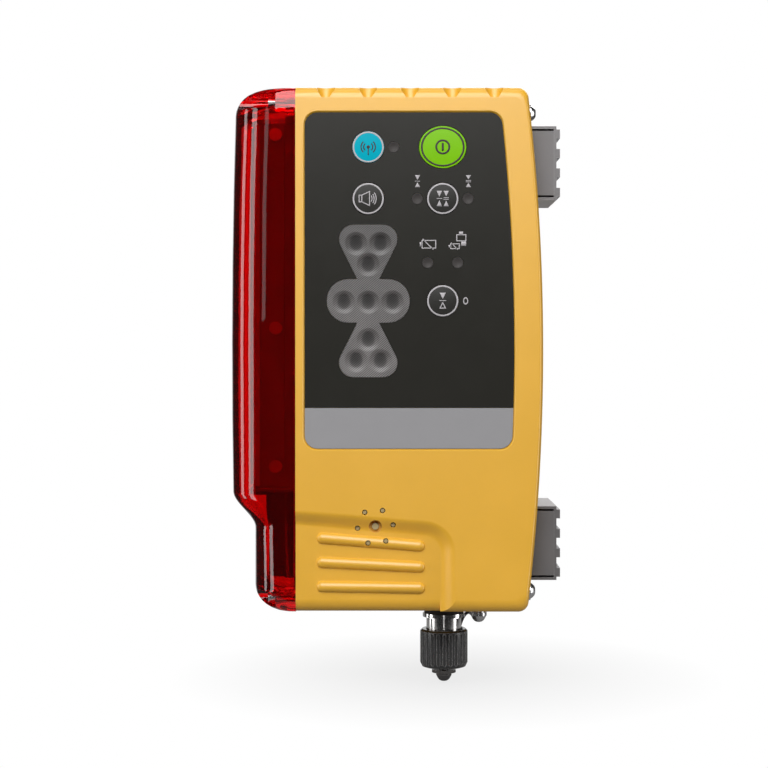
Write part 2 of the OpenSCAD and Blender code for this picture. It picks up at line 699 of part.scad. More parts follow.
// Ball that leaves a dish of width d and depth h in a flat face
function dish_r(d, h) = (pow(d / 2, 2) + pow(h, 2)) / (2 * h);
module dish(x, z, d, h) translate([x, lens_face + h - dish_r(d, h), z]) sphere(dish_r(d, h));
module display_lens() color("lightgray") seat() difference() {
    union() {
        slab(lens_face, y_wall - lens_face) lens_outline(0);
        slab(y_wall, lens_flange_t) lens_outline(lens_flange);
    }
    for (p = led_places) dish(key_left_x + p[0], lens_z + p[1], dimple_d, dimple_h);
}
led_tip = lens_back + run_gap;
module led(l, d) rotate([90, 0, 0]) rotate_extrude() polygon(concat(
    [[0, 0], [d / 2 + led_collar, 0], [d / 2 + led_collar, led_collar_h], [d / 2, led_collar_h]],
    [for (k = [0:dome_n]) let (t = 90 * k / dome_n) [d / 2 * cos(t), l - d / 2 + d / 2 * sin(t)]]));
module display_leds() color("firebrick") seat() for (p = led_places)
    translate([key_left_x + p[0], board_y, lens_z + p[1]]) led(board_y - led_tip, led_d);
dot_flange = 0.6;
dot_flange_t = 0.8;
dot_led_w = 3;
dot_led_h = 1.1;
dot_dish_d = 4.2;
dot_dish_h = 0.5;
module indicator_lenses() color("dimgray") seat() for (p = dots) difference() {
    union() {
        along_y(p[0], p[1], lens_face, y_wall, dot_d);
        along_y(p[0], p[1], y_wall, y_wall + dot_flange_t, dot_d + 2 * dot_flange);
    }
    dish(p[0], p[1], dot_dish_d, dot_dish_h);
}
module indicator_leds() color("ivory") seat() for (p = dots)
    block([p[0] - dot_led_w / 2, board_y - dot_led_h, p[1] - dot_led_w / 2],
          [p[0] + dot_led_w / 2, board_y, p[1] + dot_led_w / 2]);

// Vent plug with nubs that fill the sound holes, sounder behind it, radio behind the board
buzzer_d = 25;
buzzer_t = 4.8;
plug_d = 22;
plug_t = 0.6;
plug_back = y_low_wall + plug_t;
module buzzer() color("black") seat() along_y(sound_x, sound_z, plug_back, plug_back + buzzer_t, buzzer_d);
vent_pin_l = 2;
nub_d = 1.7;
nub_sink = 0.5;
// How deep the grip's step lies at each hole
nub_shares = [0.45, 0, 0, 0.95, 0.4, 0.4];
module vent_plug() color("tan") seat() {
    along_y(sound_x, sound_z, y_low_wall, plug_back, plug_d);
    along_y(sound_x, sound_z, vent_floor_y - vent_pin_l, plug_back, vent_pin_d);
    for (k = [0:sound_n - 1]) let (t = 360 * k / sound_n + sound_turn)
        along_y(sound_x + sound_ring_d / 2 * cos(t), sound_z + sound_ring_d / 2 * sin(t),
                y_front + nub_sink + grip_depth * nub_shares[k], plug_back, nub_d);
}
radio_w = 24;
radio_l = 34;
radio_t = 3;
radio_x = 52;
radio_z = 197;
module radio_module() color("silver") seat()
    block([radio_x - radio_w / 2, board_back, radio_z - radio_l / 2],
          [radio_x + radio_w / 2, board_back + radio_t, radio_z + radio_l / 2]);

// Red window: D-shaped sections lofted upwards, with an S-shaped neck and rounded ends
flange_x = 4.6;
flange_rim = 7;
bulge_power_share = 0.77;
end_depth_share = 0.25;
section_n = 28;
end_n = 8;
neck_n = 12;
trunk_n = 5;
chamber_r = 8;
pocket_d = 7;
pocket_seat = 9.2;
pocket_l = 26.5;
window_screw_y = 19;
window_screw_in = 5;
window_bite = 5.5;
window_pilot_d = 2.9;
window_hole_d = 3.4;
window_head_d = 5.5;
window_head_h = 3.8;
window_key_d = 2.9;
window_key_h = 2;
chamber_end = window_screw_in + pocket_d / 2;
function smooth(t) = t <= 0 ? 0 : t >= 1 ? 1 : t * t * (3 - 2 * t);
function trunk(z) = nose - nose_bow * pow(2 * z / body_h - 1, 2);
function reach(z) = chin + (trunk(z) - chin) * smooth((z - neck_low) / (neck_high - neck_low));
function section(z, turn_in, inset, back) = [for (k = [section_n:-1:0]) let (t = 180 * k / section_n - 90)
    [-back - (reach(z) - inset - turn_in - back) * pow(cos(t), bulge_power_share),
     (window_d / 2 - inset - turn_in * end_depth_share) * sign(t) * pow(abs(sin(t)), bulge_power_share), z]];
function end_turn(k) = 90 * k / end_n;
function stations(low, high, r) = concat(
    [for (k = [0:end_n]) [low + r * (1 - cos(end_turn(k))), r * (1 - sin(end_turn(k)))]],
    [for (k = [0:neck_n]) [neck_low + (neck_high - neck_low) * k / neck_n, 0]],
    [for (k = [1:trunk_n - 1]) [neck_high + (high - r - neck_high) * k / trunk_n, 0]],
    [for (k = [end_n:-1:0]) [high - r * (1 - cos(end_turn(k))), r * (1 - sin(end_turn(k)))]]);
module skin_of(rings) {
    n = len(rings[0]);
    m = len(rings);
    quads = [for (i = [0:m - 2], j = [0:n - 1]) [i * n + j, i * n + n + j, i * n + n + (j + 1) % n, i * n + (j + 1) % n]];
    polyhedron(points = [for (ring = rings) each ring], faces = concat(
        [for (q = quads) each [[q[0], q[1], q[2]], [q[0], q[2], q[3]]]],
        [[for (j = [0:n - 1]) j], [for (j = [n - 1:-1:0]) (m - 1) * n + j]]));
}
module window_loft(low, high, r, inset, back)
    skin_of([for (s = stations(low, high, r)) section(s[0], s[1], inset, back)]);
module side_slab(x, t) translate([x, 0, 0]) rotate([90, 0, 90]) linear_extrude(t) children();
module at_window_screws() for (y = [-window_screw_y, window_screw_y], z = [window_screw_in, body_h - window_screw_in])
    translate([0, y, z]) children();
seal_lip = 0.6;
seal_w = 1.2;
module opening_outline(g) polygon(round_box(-window_d / 2 + flange_rim - g, chamber_end + seal_in - g,
    window_d / 2 - flange_rim + g, body_h - chamber_end - seal_in + g, cavity_r + g));
module window_opening() side_slab(-flange_x - over, flange_x + 2 * over) opening_outline(0);
module seal_ring(gap) difference() {
    opening_outline(seal_lip + seal_w + gap);
    opening_outline(seal_lip - gap);
}
module window_pockets() {
    at_window_screws() {
        along_x(0, 0, -nose - over, -pocket_seat, pocket_d);
        along_x(0, 0, -pocket_seat - over, over, window_hole_d);
    }
    for (side = [0, 1], z = [window_screw_in, body_h - window_screw_in]) mirror([0, side, 0])
        block([-pocket_l, window_screw_y, z - pocket_d / 2], [-pocket_seat, window_d, z + pocket_d / 2]);
}
module window_cover() color("firebrick") seat() difference() {
    window_loft(0, body_h, window_r, 0, 0);
    window_loft(chamber_end, body_h - chamber_end, chamber_r, window_wall, flange_x);
    window_opening();
    window_pockets();
    side_slab(-window_seal, window_seal + over) seal_ring(fit);
}
module window_gasket() color("black") seat() side_slab(-window_seal, window_seal) seal_ring(0);
module window_screws() color("silver") seat() at_window_screws() difference() {
    union() {
        along_x(0, 0, -pocket_seat - window_head_h, -pocket_seat, window_head_d);
        along_x(0, 0, -pocket_seat, window_bite - run_gap, window_pilot_d - fit);
    }
    translate([-pocket_seat - window_head_h - over, 0, 0]) rotate([0, 90, 0])
        cylinder(d = window_key_d, h = window_key_h + over, $fn = 6);
}

// Sensor carrier behind the window, with a board on each of its three faces and a cable tongue in the neck
carrier_w = 14;
carrier_x = 17.5;
carrier_nose = 21;
carrier_bevel = 8;
carrier_foot_gap = 2;
carrier_head_gap = 5.5;
carrier_low = neck_high + carrier_foot_gap;
carrier_high = body_h - chamber_end - carrier_head_gap;
tongue_w = 12;
tongue_x = 14;
tongue_end = 4.5;
plate_grow = 1.5;
plate_t = 3;
sensor_t = 1.6;
sensor_x0 = 19.3;
sensor_x1 = 5.8;
sensor_end = 1;
function carrier_points(g) = [[0, -carrier_w - g], [0, carrier_w + g], [-carrier_x - g, carrier_w + g],
    [-carrier_nose - g, carrier_bevel + g], [-carrier_nose - g, -carrier_bevel - g], [-carrier_x - g, -carrier_w - g]];
module rise(z0, z1) translate([0, 0, z0]) linear_extrude(z1 - z0) children();
module at_carrier_screws() for (side = [0, 1], z = carrier_screw_zs) mirror([0, side, 0])
    translate([-carrier_screw_x, 0, z]) children();
carrier_screw_x = 9.5;
carrier_screw_inset = 5;
carrier_pilot_d = 2.4;
carrier_head_d = 5.7;
carrier_head_h = 1.9;
carrier_bite = 5;
carrier_screw_zs = [carrier_low + 2 * carrier_screw_inset, (carrier_low + carrier_high) / 2 - carrier_screw_inset * 2,
                    carrier_high - carrier_screw_inset];
module sensor_carrier() color("maroon") seat() difference() {
    union() {
        rise(carrier_low, carrier_high) polygon(carrier_points(0));
        rise(carrier_high, carrier_high + plate_t) polygon(carrier_points(plate_grow));
        rise(carrier_low - plate_t, carrier_low) polygon(carrier_points(plate_grow));
        block([-tongue_x, -tongue_w, chamber_end + tongue_end], [0, tongue_w, carrier_low]);
    }
    at_carrier_screws() along_y(0, 0, -carrier_w - over, -carrier_w + carrier_bite, carrier_pilot_d);
}
module sensor_boards() color("darkred") seat() difference() {
    union() {
        for (side = [0, 1]) mirror([0, side, 0])
            block([-sensor_x0, -carrier_w - sensor_t, carrier_low + sensor_end], [-sensor_x1, -carrier_w, carrier_high - sensor_end]);
        block([-carrier_nose - sensor_t, -carrier_bevel + sensor_end, carrier_low + sensor_end],
              [-carrier_nose, carrier_bevel - sensor_end, carrier_high - sensor_end]);
    }
    at_carrier_screws() along_y(0, 0, -carrier_w - sensor_t - over, -carrier_w, board_hole_d);
}
module carrier_screws() color("silver") seat() at_carrier_screws() {
    along_y(0, 0, -carrier_w - sensor_t, -carrier_w + carrier_bite - run_gap, carrier_pilot_d - fit);
    along_y(0, 0, -carrier_w - sensor_t - carrier_head_h, -carrier_w - sensor_t, carrier_head_d);
}
diode_n = 40;
diode_w = 2.4;
diode_t = 0.8;
diode_tape = 0.3;
diode_x = 18.1;
diode_pitch = (carrier_high - carrier_low - 2 * sensor_end - diode_w) / diode_n;
module diode_strip() {
    z0 = carrier_low + sensor_end;
    block([-diode_w / 2, -diode_tape, z0], [diode_w / 2, 0, carrier_high - sensor_end]);
    for (k = [0:diode_n - 1]) let (z = z0 + diode_pitch * k + diode_w / 2)
        block([-diode_w / 2, -diode_tape - diode_t, z], [diode_w / 2, 0, z + diode_w]);
}
module photodiodes() color("black") seat() {
    for (side = [0, 1]) mirror([0, side, 0]) translate([-diode_x, -carrier_w - sensor_t, 0]) diode_strip();
    translate([-carrier_nose - sensor_t, 0, 0]) rotate([0, 0, -90]) diode_strip();
}

// Magnet feet: a steel channel with pole ribs over a core that holds bar magnets
yoke_t = 1.2;
groove = 0.9;
pole_n = 4;
magnet_t = 6;
magnet_l = 29;
magnet_h = 4.4;
foot_screw_y = 19;
foot_bite = 4;
foot_head_t = 3;
core_x1 = foot_face_x - yoke_t;
module at_foot_screws() for (z = foot_zs, y = [-foot_screw_y, foot_screw_y])
    translate([0, foot_y + y, z]) children();
module at_poles(z) for (k = [0:pole_n - 1]) translate([0, 0, z + (k - (pole_n - 1) / 2) * pole_pitch]) children();
module bar(x0, x1, l, h) block([x0, foot_y - l / 2, -h / 2], [x1, foot_y + l / 2, h / 2]);
module magnet_yoke(z) {
    translate([0, 0, z]) difference() {
        bar(foot_seat_x, foot_face_x, foot_d, foot_h);
        bar(foot_seat_x - over, core_x1, foot_d + 2 * over, foot_h - 2 * yoke_t);
    }
    at_poles(z) bar(core_x1, pole_x, foot_d, pole_h);
}
module magnet_core(z) difference() {
    translate([0, 0, z]) bar(foot_seat_x, core_x1, foot_d, foot_h - 2 * yoke_t - 2 * groove);
    at_poles(z) bar(core_x1 - magnet_t, core_x1 + over, magnet_l + 2 * fit, magnet_h + 2 * fit);
    at_foot_screws() {
        along_x(0, 0, foot_seat_x - over, foot_face_x, screw_hole_d);
        along_x(0, 0, core_x1 - foot_head_t, foot_face_x, screw_head_d + 2 * run_gap);
    }
}
module upper_magnet_yoke() color("gray") seat() magnet_yoke(foot_zs[1]);
module lower_magnet_yoke() color("gray") seat() magnet_yoke(foot_zs[0]);
module upper_magnet_core() color("darkgray") seat() magnet_core(foot_zs[1]);
module lower_magnet_core() color("darkgray") seat() magnet_core(foot_zs[0]);
module bar_magnets() color("dimgray") seat() for (z = foot_zs) at_poles(z)
    bar(core_x1 - magnet_t, core_x1, magnet_l, magnet_h);
module foot_screws() color("silver") seat() at_foot_screws() {
    along_x(0, 0, foot_seat_x - foot_bite + run_gap, core_x1 - run_gap, screw_pilot_d - fit);
    along_x(0, 0, core_x1 - foot_head_t, core_x1 - run_gap, screw_head_d);
}
// Button-head screws with washers on the right side
washer_d = 8.4;
washer_t = 0.7;
button_h = 2.3;
button_key_d = 2.9;
button_key_h = 1.3;
module side_screws() color("silver") seat() for (z = side_screw_zs)
    translate([side_x(z) + side_pad_out, side_screw_y, z]) rotate([0, 90, 0]) difference() {
        rotate_extrude() polygon(concat(
            [[0, run_gap - side_bite - side_pad_out], [(screw_pilot_d - fit) / 2, run_gap - side_bite - side_pad_out],
             [(screw_pilot_d - fit) / 2, 0], [washer_d / 2, 0], [washer_d / 2, washer_t]],
            [for (k = [0:dome_n]) let (s = 1 - k / dome_n)
                [screw_head_d / 2 * s, washer_t + button_h * (1 - pow(s, 3))]]));
        translate([0, 0, washer_t + button_h - button_key_h]) cylinder(d = button_key_d, h = button_h, $fn = 6);
    }

// Power socket below: seal, shell, pin insert and inner nut
socket_seal = 1;
seal_ring_d = 18;
socket_bore_d = 13;
socket_in = 9;
nut_w = 22;
nut_t = 4;
insert_set = 2.6;
insert_in = 11;
insert_pin_d = 1.4;
insert_pin_l = 1.8;
insert_ring_d = 7.4;
insert_pin_n = 6;
flange_high = -socket_seal - neck_l;
flange_low = flange_high - flange_t;
socket_low = flange_low - socket_l;
module connector_gasket() color("black") seat() difference() {
    along_z(socket_x, 0, -socket_seal - neck_l, 0, seal_ring_d);
    along_z(socket_x, 0, flange_high - over, over, socket_d + 2 * fit);
}
module connector_shell() color("silver") seat() difference() {
    union() {
        along_z(socket_x, 0, flange_low, flange_high, flange_d);
        along_z(socket_x, 0, socket_low, socket_in, socket_d);
    }
    along_z(socket_x, 0, socket_low - over, socket_in + over, socket_bore_d);
}
module connector_insert() color("black") seat() {
    along_z(socket_x, 0, socket_low + insert_set, insert_in, socket_bore_d - 2 * fit);
    for (k = [0:insert_pin_n - 1]) let (t = 360 * k / insert_pin_n)
        along_z(socket_x + insert_ring_d / 2 * cos(t), insert_ring_d / 2 * sin(t),
                socket_low + insert_set - insert_pin_l, insert_in, insert_pin_d);
}
module connector_nut() color("silver") seat() difference() {
    translate([socket_x, 0, floor_t]) cylinder(d = nut_w, h = nut_t, $fn = 6);
    along_z(socket_x, 0, floor_t - over, floor_t + nut_t + over, socket_d + 2 * fit);
}

// Screw cap with flutes, its rivet, and the ring that stays still as the cap turns
cap_gap = 5.6;
cap_end = 1.4;
cap_chamfer = 0.9;
cap_rim = 1.5;
cap_floor = 4;
flute_d = 1.7;
rivet_neck_d = 4;
rivet_neck_l = 3.8;
rivet_d = 7.1;
rivet_h = 2.8;
ring_d = 11;
ring_t = 1.2;
ring_drop = 1.3;
lug_w = 3;
lug_l = 6.2;
cap_high = flange_low - cap_gap;
cap_low = cap_high - cap_l;
ring_high = cap_low - ring_drop;
module dust_cap() color("dimgray") seat() translate([socket_x, 0, 0]) difference() {
    rotate_extrude() polygon([[0, cap_low], [cap_d / 2 - cap_chamfer - cap_end, cap_low],
        [cap_d / 2 - cap_chamfer, cap_low + cap_chamfer / 2], [cap_d / 2, cap_low + cap_end + cap_chamfer],
        [cap_d / 2, cap_high - cap_chamfer], [cap_d / 2 - cap_chamfer, cap_high],
        [socket_d / 2 + run_gap, cap_high], [socket_d / 2 + run_gap, cap_low + cap_floor], [0, cap_low + cap_floor]]);
    for (k = [0:flute_n - 1]) rotate([0, 0, 360 * k / flute_n])
        along_z(cap_d / 2 + flute_d / 4, 0, cap_low - over, cap_high - cap_rim, flute_d);
}
module cap_rivet() color("silver") seat() translate([socket_x, 0, cap_low - rivet_neck_l]) rotate_extrude() polygon(concat(
    [for (k = [0:dome_n]) let (s = k / dome_n) [rivet_d / 2 * s, -rivet_h * (1 - pow(s, 3))]],
    [[rivet_d / 2, rivet_h / 4], [rivet_neck_d / 2, rivet_h / 4], [rivet_neck_d / 2, rivet_neck_l], [0, rivet_neck_l]]));
module cap_ring() color("silver") seat() difference() {
    union() {
        along_z(socket_x, 0, ring_high - ring_t, ring_high, ring_d);
        block([socket_x - lug_w / 2, 0, ring_high - ring_t], [socket_x + lug_w / 2, lug_l, ring_high]);
    }
    along_z(socket_x, 0, ring_high - ring_t - over, ring_high + over, rivet_neck_d + 2 * run_gap);
}

// Lanyard from a screw beside the socket, behind the cap, to the ring
lanyard_bite = 7;
bush_d = 6;
bush_l = 4.5;
eye_d = 7.4;
eye_t = 1.6;
eye_arm_d = 2.4;
eye_arm_l = 5.4;
eye_turn = 50;
post_head_h = 3;
eye_z = -bush_l - eye_t / 2;
module lanyard_screw() color("silver") seat() translate([lanyard_x, 0, -bush_l - eye_t]) rotate_extrude() polygon(concat(
    [for (k = [0:dome_n]) let (s = k / dome_n) [rivet_d / 2 * s, -post_head_h * (1 - pow(s, 3))]],
    [[rivet_d / 2, 0], [(lanyard_pilot_d - fit) / 2, 0], [(lanyard_pilot_d - fit) / 2, bush_l + eye_t + lanyard_bite - run_gap],
     [0, bush_l + eye_t + lanyard_bite - run_gap]]));
module lanyard_bush() color("silver") seat() difference() {
    along_z(lanyard_x, 0, -bush_l, 0, bush_d);
    along_z(lanyard_x, 0, -bush_l - over, over, lanyard_pilot_d);
}
module lanyard_eye() color("silver") seat() difference() {
    union() {
        along_z(lanyard_x, 0, -bush_l - eye_t, -bush_l, eye_d);
        translate([lanyard_x, 0, eye_z]) rotate([0, -90, -eye_turn]) cylinder(d = eye_arm_d, h = eye_arm_l);
    }
    along_z(lanyard_x, 0, -bush_l - eye_t - eye_arm_d, over, lanyard_pilot_d);
    along_z(lanyard_x, 0, -bush_l, over, eye_d + 2 * over);
    along_z(lanyard_x, 0, -bush_l - eye_t - eye_arm_d, -bush_l - eye_t, eye_d + fit);
}
// The lanyard's own route, seen from the window seam at the case's foot
lanyard_points = [[78.6, 4.4, -5.3], [77.5, 5.7, -5.6], [76.4, 6.9, -6.6], [75.4, 7.9, -8.2], [74.6, 8.8, -10.2],
    [73.9, 9.6, -12.4], [73.1, 10.4, -14.8], [72.3, 11.1, -17.3], [71.4, 11.6, -19.9], [70.5, 11.9, -22.5],
    [69.6, 11.9, -25.1], [68.7, 11.5, -27.6], [67.8, 10.5, -29.8], [66.5, 8.6, -31.4], [66.3, 6.45, -31.5]];
lanyard_lean_share = [1, 0, 0.3];
lanyard_sides = 8;
function route_dir(k) = unit(lanyard_points[min(k + 1, len(lanyard_points) - 1)] - lanyard_points[max(k - 1, 0)]);
function route_ring(k) = let (d = route_dir(k), u = unit(cross(d, lanyard_lean_share)), v = cross(d, u))
    [for (j = [0:lanyard_sides - 1]) let (t = 360 * j / lanyard_sides)
        lanyard_points[k] + lanyard_d / 2 * (u * cos(t) + v * sin(t))];
module lanyard() color("black") seat() skin_of([for (k = [0:len(lanyard_points) - 1]) route_ring(k)]);

front_case();
rear_case();
case_gasket();
case_screws();
window_cover();
window_gasket();
window_screws();
sensor_carrier();
sensor_boards();
carrier_screws();
photodiodes();
control_panel();
name_strip();
power_key();
wireless_key();
speaker_key();
deadband_key();
zero_key();
key_switches();
display_lens();
display_leds();
indicator_lenses();
indicator_leds();
main_board();
board_screws();
buzzer();
vent_plug();
radio_module();
battery_door();
door_gasket();
door_pin();
door_screw();
batteries();
battery_contacts();
upper_magnet_yoke();
lower_magnet_yoke();
upper_magnet_core();
lower_magnet_core();
bar_magnets();
foot_screws();
side_screws();
connector_gasket();
connector_shell();
connector_insert();
connector_nut();
dust_cap();
cap_rivet();
cap_ring();
lanyard_screw();
lanyard_bush();
lanyard_eye();
lanyard();
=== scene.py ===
import json
import math
import bmesh
import bpy
import numpy as np
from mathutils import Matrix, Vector


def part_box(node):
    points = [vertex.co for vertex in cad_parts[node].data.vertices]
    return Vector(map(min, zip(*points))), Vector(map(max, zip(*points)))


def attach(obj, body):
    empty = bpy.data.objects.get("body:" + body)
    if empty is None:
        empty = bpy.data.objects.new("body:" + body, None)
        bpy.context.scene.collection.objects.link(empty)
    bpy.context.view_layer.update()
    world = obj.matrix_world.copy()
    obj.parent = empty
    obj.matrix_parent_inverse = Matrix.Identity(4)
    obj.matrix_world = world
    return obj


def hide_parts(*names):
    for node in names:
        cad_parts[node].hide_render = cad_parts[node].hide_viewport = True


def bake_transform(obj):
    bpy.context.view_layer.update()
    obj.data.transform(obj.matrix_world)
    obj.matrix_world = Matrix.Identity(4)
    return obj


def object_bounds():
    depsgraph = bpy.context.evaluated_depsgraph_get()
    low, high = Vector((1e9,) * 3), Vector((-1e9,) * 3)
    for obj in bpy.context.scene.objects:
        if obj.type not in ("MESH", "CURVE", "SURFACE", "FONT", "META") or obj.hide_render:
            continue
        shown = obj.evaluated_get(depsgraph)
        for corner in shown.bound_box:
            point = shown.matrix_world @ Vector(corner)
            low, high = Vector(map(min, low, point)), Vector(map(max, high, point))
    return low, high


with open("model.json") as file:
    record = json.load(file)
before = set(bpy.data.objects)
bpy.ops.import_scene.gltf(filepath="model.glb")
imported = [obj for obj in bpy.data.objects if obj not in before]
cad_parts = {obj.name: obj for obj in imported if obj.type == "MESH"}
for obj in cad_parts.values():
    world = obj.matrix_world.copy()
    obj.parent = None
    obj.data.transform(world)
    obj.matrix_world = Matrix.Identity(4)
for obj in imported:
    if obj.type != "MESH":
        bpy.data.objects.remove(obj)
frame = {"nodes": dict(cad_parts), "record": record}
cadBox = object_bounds()
nodeBody = {name: body for body, names in frame["record"]["behaviour"]["bodies"].items() for name in names}
print("frame loaded with", len(frame["nodes"]), "nodes")

# The pieces are in millimetres on the receiver's own scale: x from the window seam, y from mid depth,
# z up from the foot of the case. The camera and the stage are in metres in the frame
mm = 0.001
caseLow = np.array(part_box("front_case")[0]) / mm
originShift = np.array([caseLow[0], 0.0, caseLow[2]])


def place(points):
    # receiver millimetres to frame metres
    return (np.asarray(points, float) + originShift) * mm


def local(node):
    # a node's lowest and highest corner on the receiver's own scale
    return [np.array(corner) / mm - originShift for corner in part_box(node)]


def rgb(red, green, blue):
    # a colour as written on screen, 0 to 255, to the linear values that shaders take
    value = np.array([red, green, blue]) / 255.0
    linear = np.where(value <= 0.04045, value / 12.92, ((value + 0.055) / 1.055) ** 2.4)
    return (*(float(part) for part in linear), 1.0)


# Camera: level, about 0.8 m in front of the face
view = dict(place=(-0.0725, -0.836, 0.0005), lens=85.2, shift=(-0.0182, -0.0417), farEnd=20.0)
cameraData = bpy.data.cameras.new("photoView")
cameraData.lens = view["lens"]
cameraData.shift_x, cameraData.shift_y = view["shift"]
cameraData.clip_end = view["farEnd"]
camera = bpy.data.objects.new("photoView", cameraData)
camera.location = view["place"]
camera.rotation_euler = (math.radians(90.0), 0.0, 0.0)
bpy.context.scene.collection.objects.link(camera)
bpy.context.scene.camera = camera
bpy.context.scene.view_settings.view_transform = "Standard"
print("camera set")


def meshObject(name, vertices, faces, material, smooth=True):
    # one mesh piece at the origin, its place in its vertices
    mesh = bpy.data.meshes.new(name)
    mesh.from_pydata(np.asarray(vertices).tolist(), [], [list(face) for face in faces])
    mesh.materials.append(material)
    mesh.polygons.foreach_set("use_smooth", [smooth] * len(mesh.polygons))
    mesh.update()
    piece = bpy.data.objects.new(name, mesh)
    bpy.context.scene.collection.objects.link(piece)
    return piece


def gridFaces(rows, columns, closeColumns=False):
    # quads of a grid of rows by columns, whose columns may close on themselves
    along = np.arange(columns if closeColumns else columns - 1)
    i, j = [part.ravel() for part in np.meshgrid(np.arange(rows - 1), along, indexing="ij")]
    jNext = (j + 1) % columns
    corners = [i * columns + j, (i + 1) * columns + j, (i + 1) * columns + jNext, i * columns + jNext]
    return np.stack(corners, axis=1)


# Shader building: one helper places a node, sets it up and wires its inputs
def shaderNode(tree, kind, inputs, **settings):
    made = tree.nodes.new(kind)
    for key, value in settings.items():
        setattr(made, key, value)
    for key, value in inputs.items():
        if isinstance(value, bpy.types.NodeSocket):
            tree.links.new(value, made.inputs[key])
        else:
            made.inputs[key].default_value = value
    return made


def mathNode(tree, operation, *values):
    return shaderNode(tree, "ShaderNodeMath", dict(enumerate(values)), operation=operation).outputs[0]


def mapRange(tree, value, start, end, low=0.0, high=1.0, soft=False):
    # low at start, high at end, held beyond them; soft eases both ends
    inputs = {"Value": value, "From Min": start, "From Max": end, "To Min": low, "To Max": high}
    steps = "SMOOTHSTEP" if soft else "LINEAR"
    return shaderNode(tree, "ShaderNodeMapRange", inputs, interpolation_type=steps).outputs["Result"]


def mixColours(tree, share, first, second):
    inputs = {0: share, 6: first, 7: second}
    return shaderNode(tree, "ShaderNodeMix", inputs, data_type="RGBA").outputs[2]


def startGroup(name, inputs, outputs):
    # an empty shader group with its sockets, ready to be filled
    tree = bpy.data.node_groups.new(name, "ShaderNodeTree")
    for direction, sockets in (("INPUT", inputs), ("OUTPUT", outputs)):
        for label, kind in sockets.items():
            tree.interface.new_socket(name=label, in_out=direction, socket_type="NodeSocket" + kind)
    entry = tree.nodes.new("NodeGroupInput")
    leave = tree.nodes.new("NodeGroupOutput")
    return tree, entry.outputs, leave.inputs


def objectPlace(tree):
    return tree.nodes.new("ShaderNodeTexCoord").outputs["Object"]


def noiseOf(tree, place, scale, detail):
    inputs = {"Vector": place, "Scale": scale, "Detail": detail}
    return shaderNode(tree, "ShaderNodeTexNoise", inputs).outputs["Fac"]


def tint(tree, colour, noise, contrast):
    # colour times one plus contrast times the noise's swing
    swing = mathNode(tree, "SUBTRACT", noise, 0.5)
    factor = mathNode(tree, "MULTIPLY_ADD", swing, contrast, 1.0)
    inputs = {"Vector": colour, "Scale": factor}
    return shaderNode(tree, "ShaderNodeVectorMath", inputs, operation="SCALE").outputs["Vector"]


# Shared by every finish: clouds are sized in grains, lighter edge patches counted to the metre
wearAndGlint = dict(cloudSize=40.0, cloudGloss=0.16, drawnGloss=0.3, rubGlintStart=0.985, rubGlintFull=0.86, rubGlintPatches=900.0)


def makeMouldGrain():
    # fine spark-eroded grain over slow cloudy patches
    tree, entry, leave = startGroup(
        "mouldGrain",
        {"Colour": "Color", "Grain": "Float", "Contrast": "Float", "Gloss": "Float"},
        {"Colour": "Color", "Roughness": "Float", "Height": "Float"},
    )
    place = objectPlace(tree)
    density = mathNode(tree, "DIVIDE", 1.0, entry["Grain"])
    fine = noiseOf(tree, place, density, 2.0)
    cloud = noiseOf(tree, place, mathNode(tree, "DIVIDE", density, wearAndGlint["cloudSize"]), 3.0)
    speckled = tint(tree, entry["Colour"], fine, entry["Contrast"])
    tree.links.new(tint(tree, speckled, cloud, entry["Contrast"]), leave["Colour"])
    swing = mathNode(tree, "MULTIPLY_ADD", mathNode(tree, "SUBTRACT", cloud, 0.5), wearAndGlint["cloudGloss"], 1.0)
    rough = mathNode(tree, "MULTIPLY", entry["Gloss"], swing)
    tree.links.new(rough, leave["Roughness"])
    tree.links.new(fine, leave["Height"])
    return tree


def makeDrawnLines():
    # drawn or turned metal: noise pulled out along one way
    tree, entry, leave = startGroup(
        "drawnLines",
        {"Colour": "Color", "Stretch": "Vector", "Contrast": "Float", "Gloss": "Float"},
        {"Colour": "Color", "Roughness": "Float", "Height": "Float"},
    )
    inputs = {0: objectPlace(tree), 1: entry["Stretch"]}
    pulled = shaderNode(tree, "ShaderNodeVectorMath", inputs, operation="MULTIPLY").outputs["Vector"]
    lines = noiseOf(tree, pulled, 1.0, 3.0)
    tree.links.new(tint(tree, entry["Colour"], lines, entry["Contrast"]), leave["Colour"])
    swing = mathNode(tree, "SUBTRACT", lines, 0.5)
    rough = mathNode(tree, "MULTIPLY_ADD", swing, wearAndGlint["drawnGloss"], entry["Gloss"])
    tree.links.new(rough, leave["Roughness"])
    tree.links.new(lines, leave["Height"])
    return tree


def makeEdgeRubAndGlint():
    # lighter edges where the normal of a rounded corner parts from the true one: handling wear on most
    # finishes, a painted highlight on the dust cap's knurl ridges
    tree, entry, leave = startGroup(
        "edgeRubAndGlint",
        {"Colour": "Color", "RubbedAndGlint": "Color", "Radius": "Float", "Amount": "Float"},
        {"Colour": "Color"},
    )
    rounded = shaderNode(tree, "ShaderNodeBevel", {"Radius": entry["Radius"]}, samples=4).outputs[0]
    true = tree.nodes.new("ShaderNodeNewGeometry").outputs["Normal"]
    inputs = {0: rounded, 1: true}
    along = shaderNode(tree, "ShaderNodeVectorMath", inputs, operation="DOT_PRODUCT").outputs["Value"]
    edge = mapRange(tree, along, wearAndGlint["rubGlintStart"], wearAndGlint["rubGlintFull"])
    patchy = noiseOf(tree, objectPlace(tree), wearAndGlint["rubGlintPatches"], 3.0)
    mask = mathNode(tree, "MULTIPLY", mathNode(tree, "MULTIPLY", edge, patchy), entry["Amount"])
    tree.links.new(mixColours(tree, mask, entry["Colour"], entry["RubbedAndGlint"]), leave["Colour"])
    return tree


mouldGrain = makeMouldGrain()
drawnLines = makeDrawnLines()
edgeRubAndGlint = makeEdgeRubAndGlint()


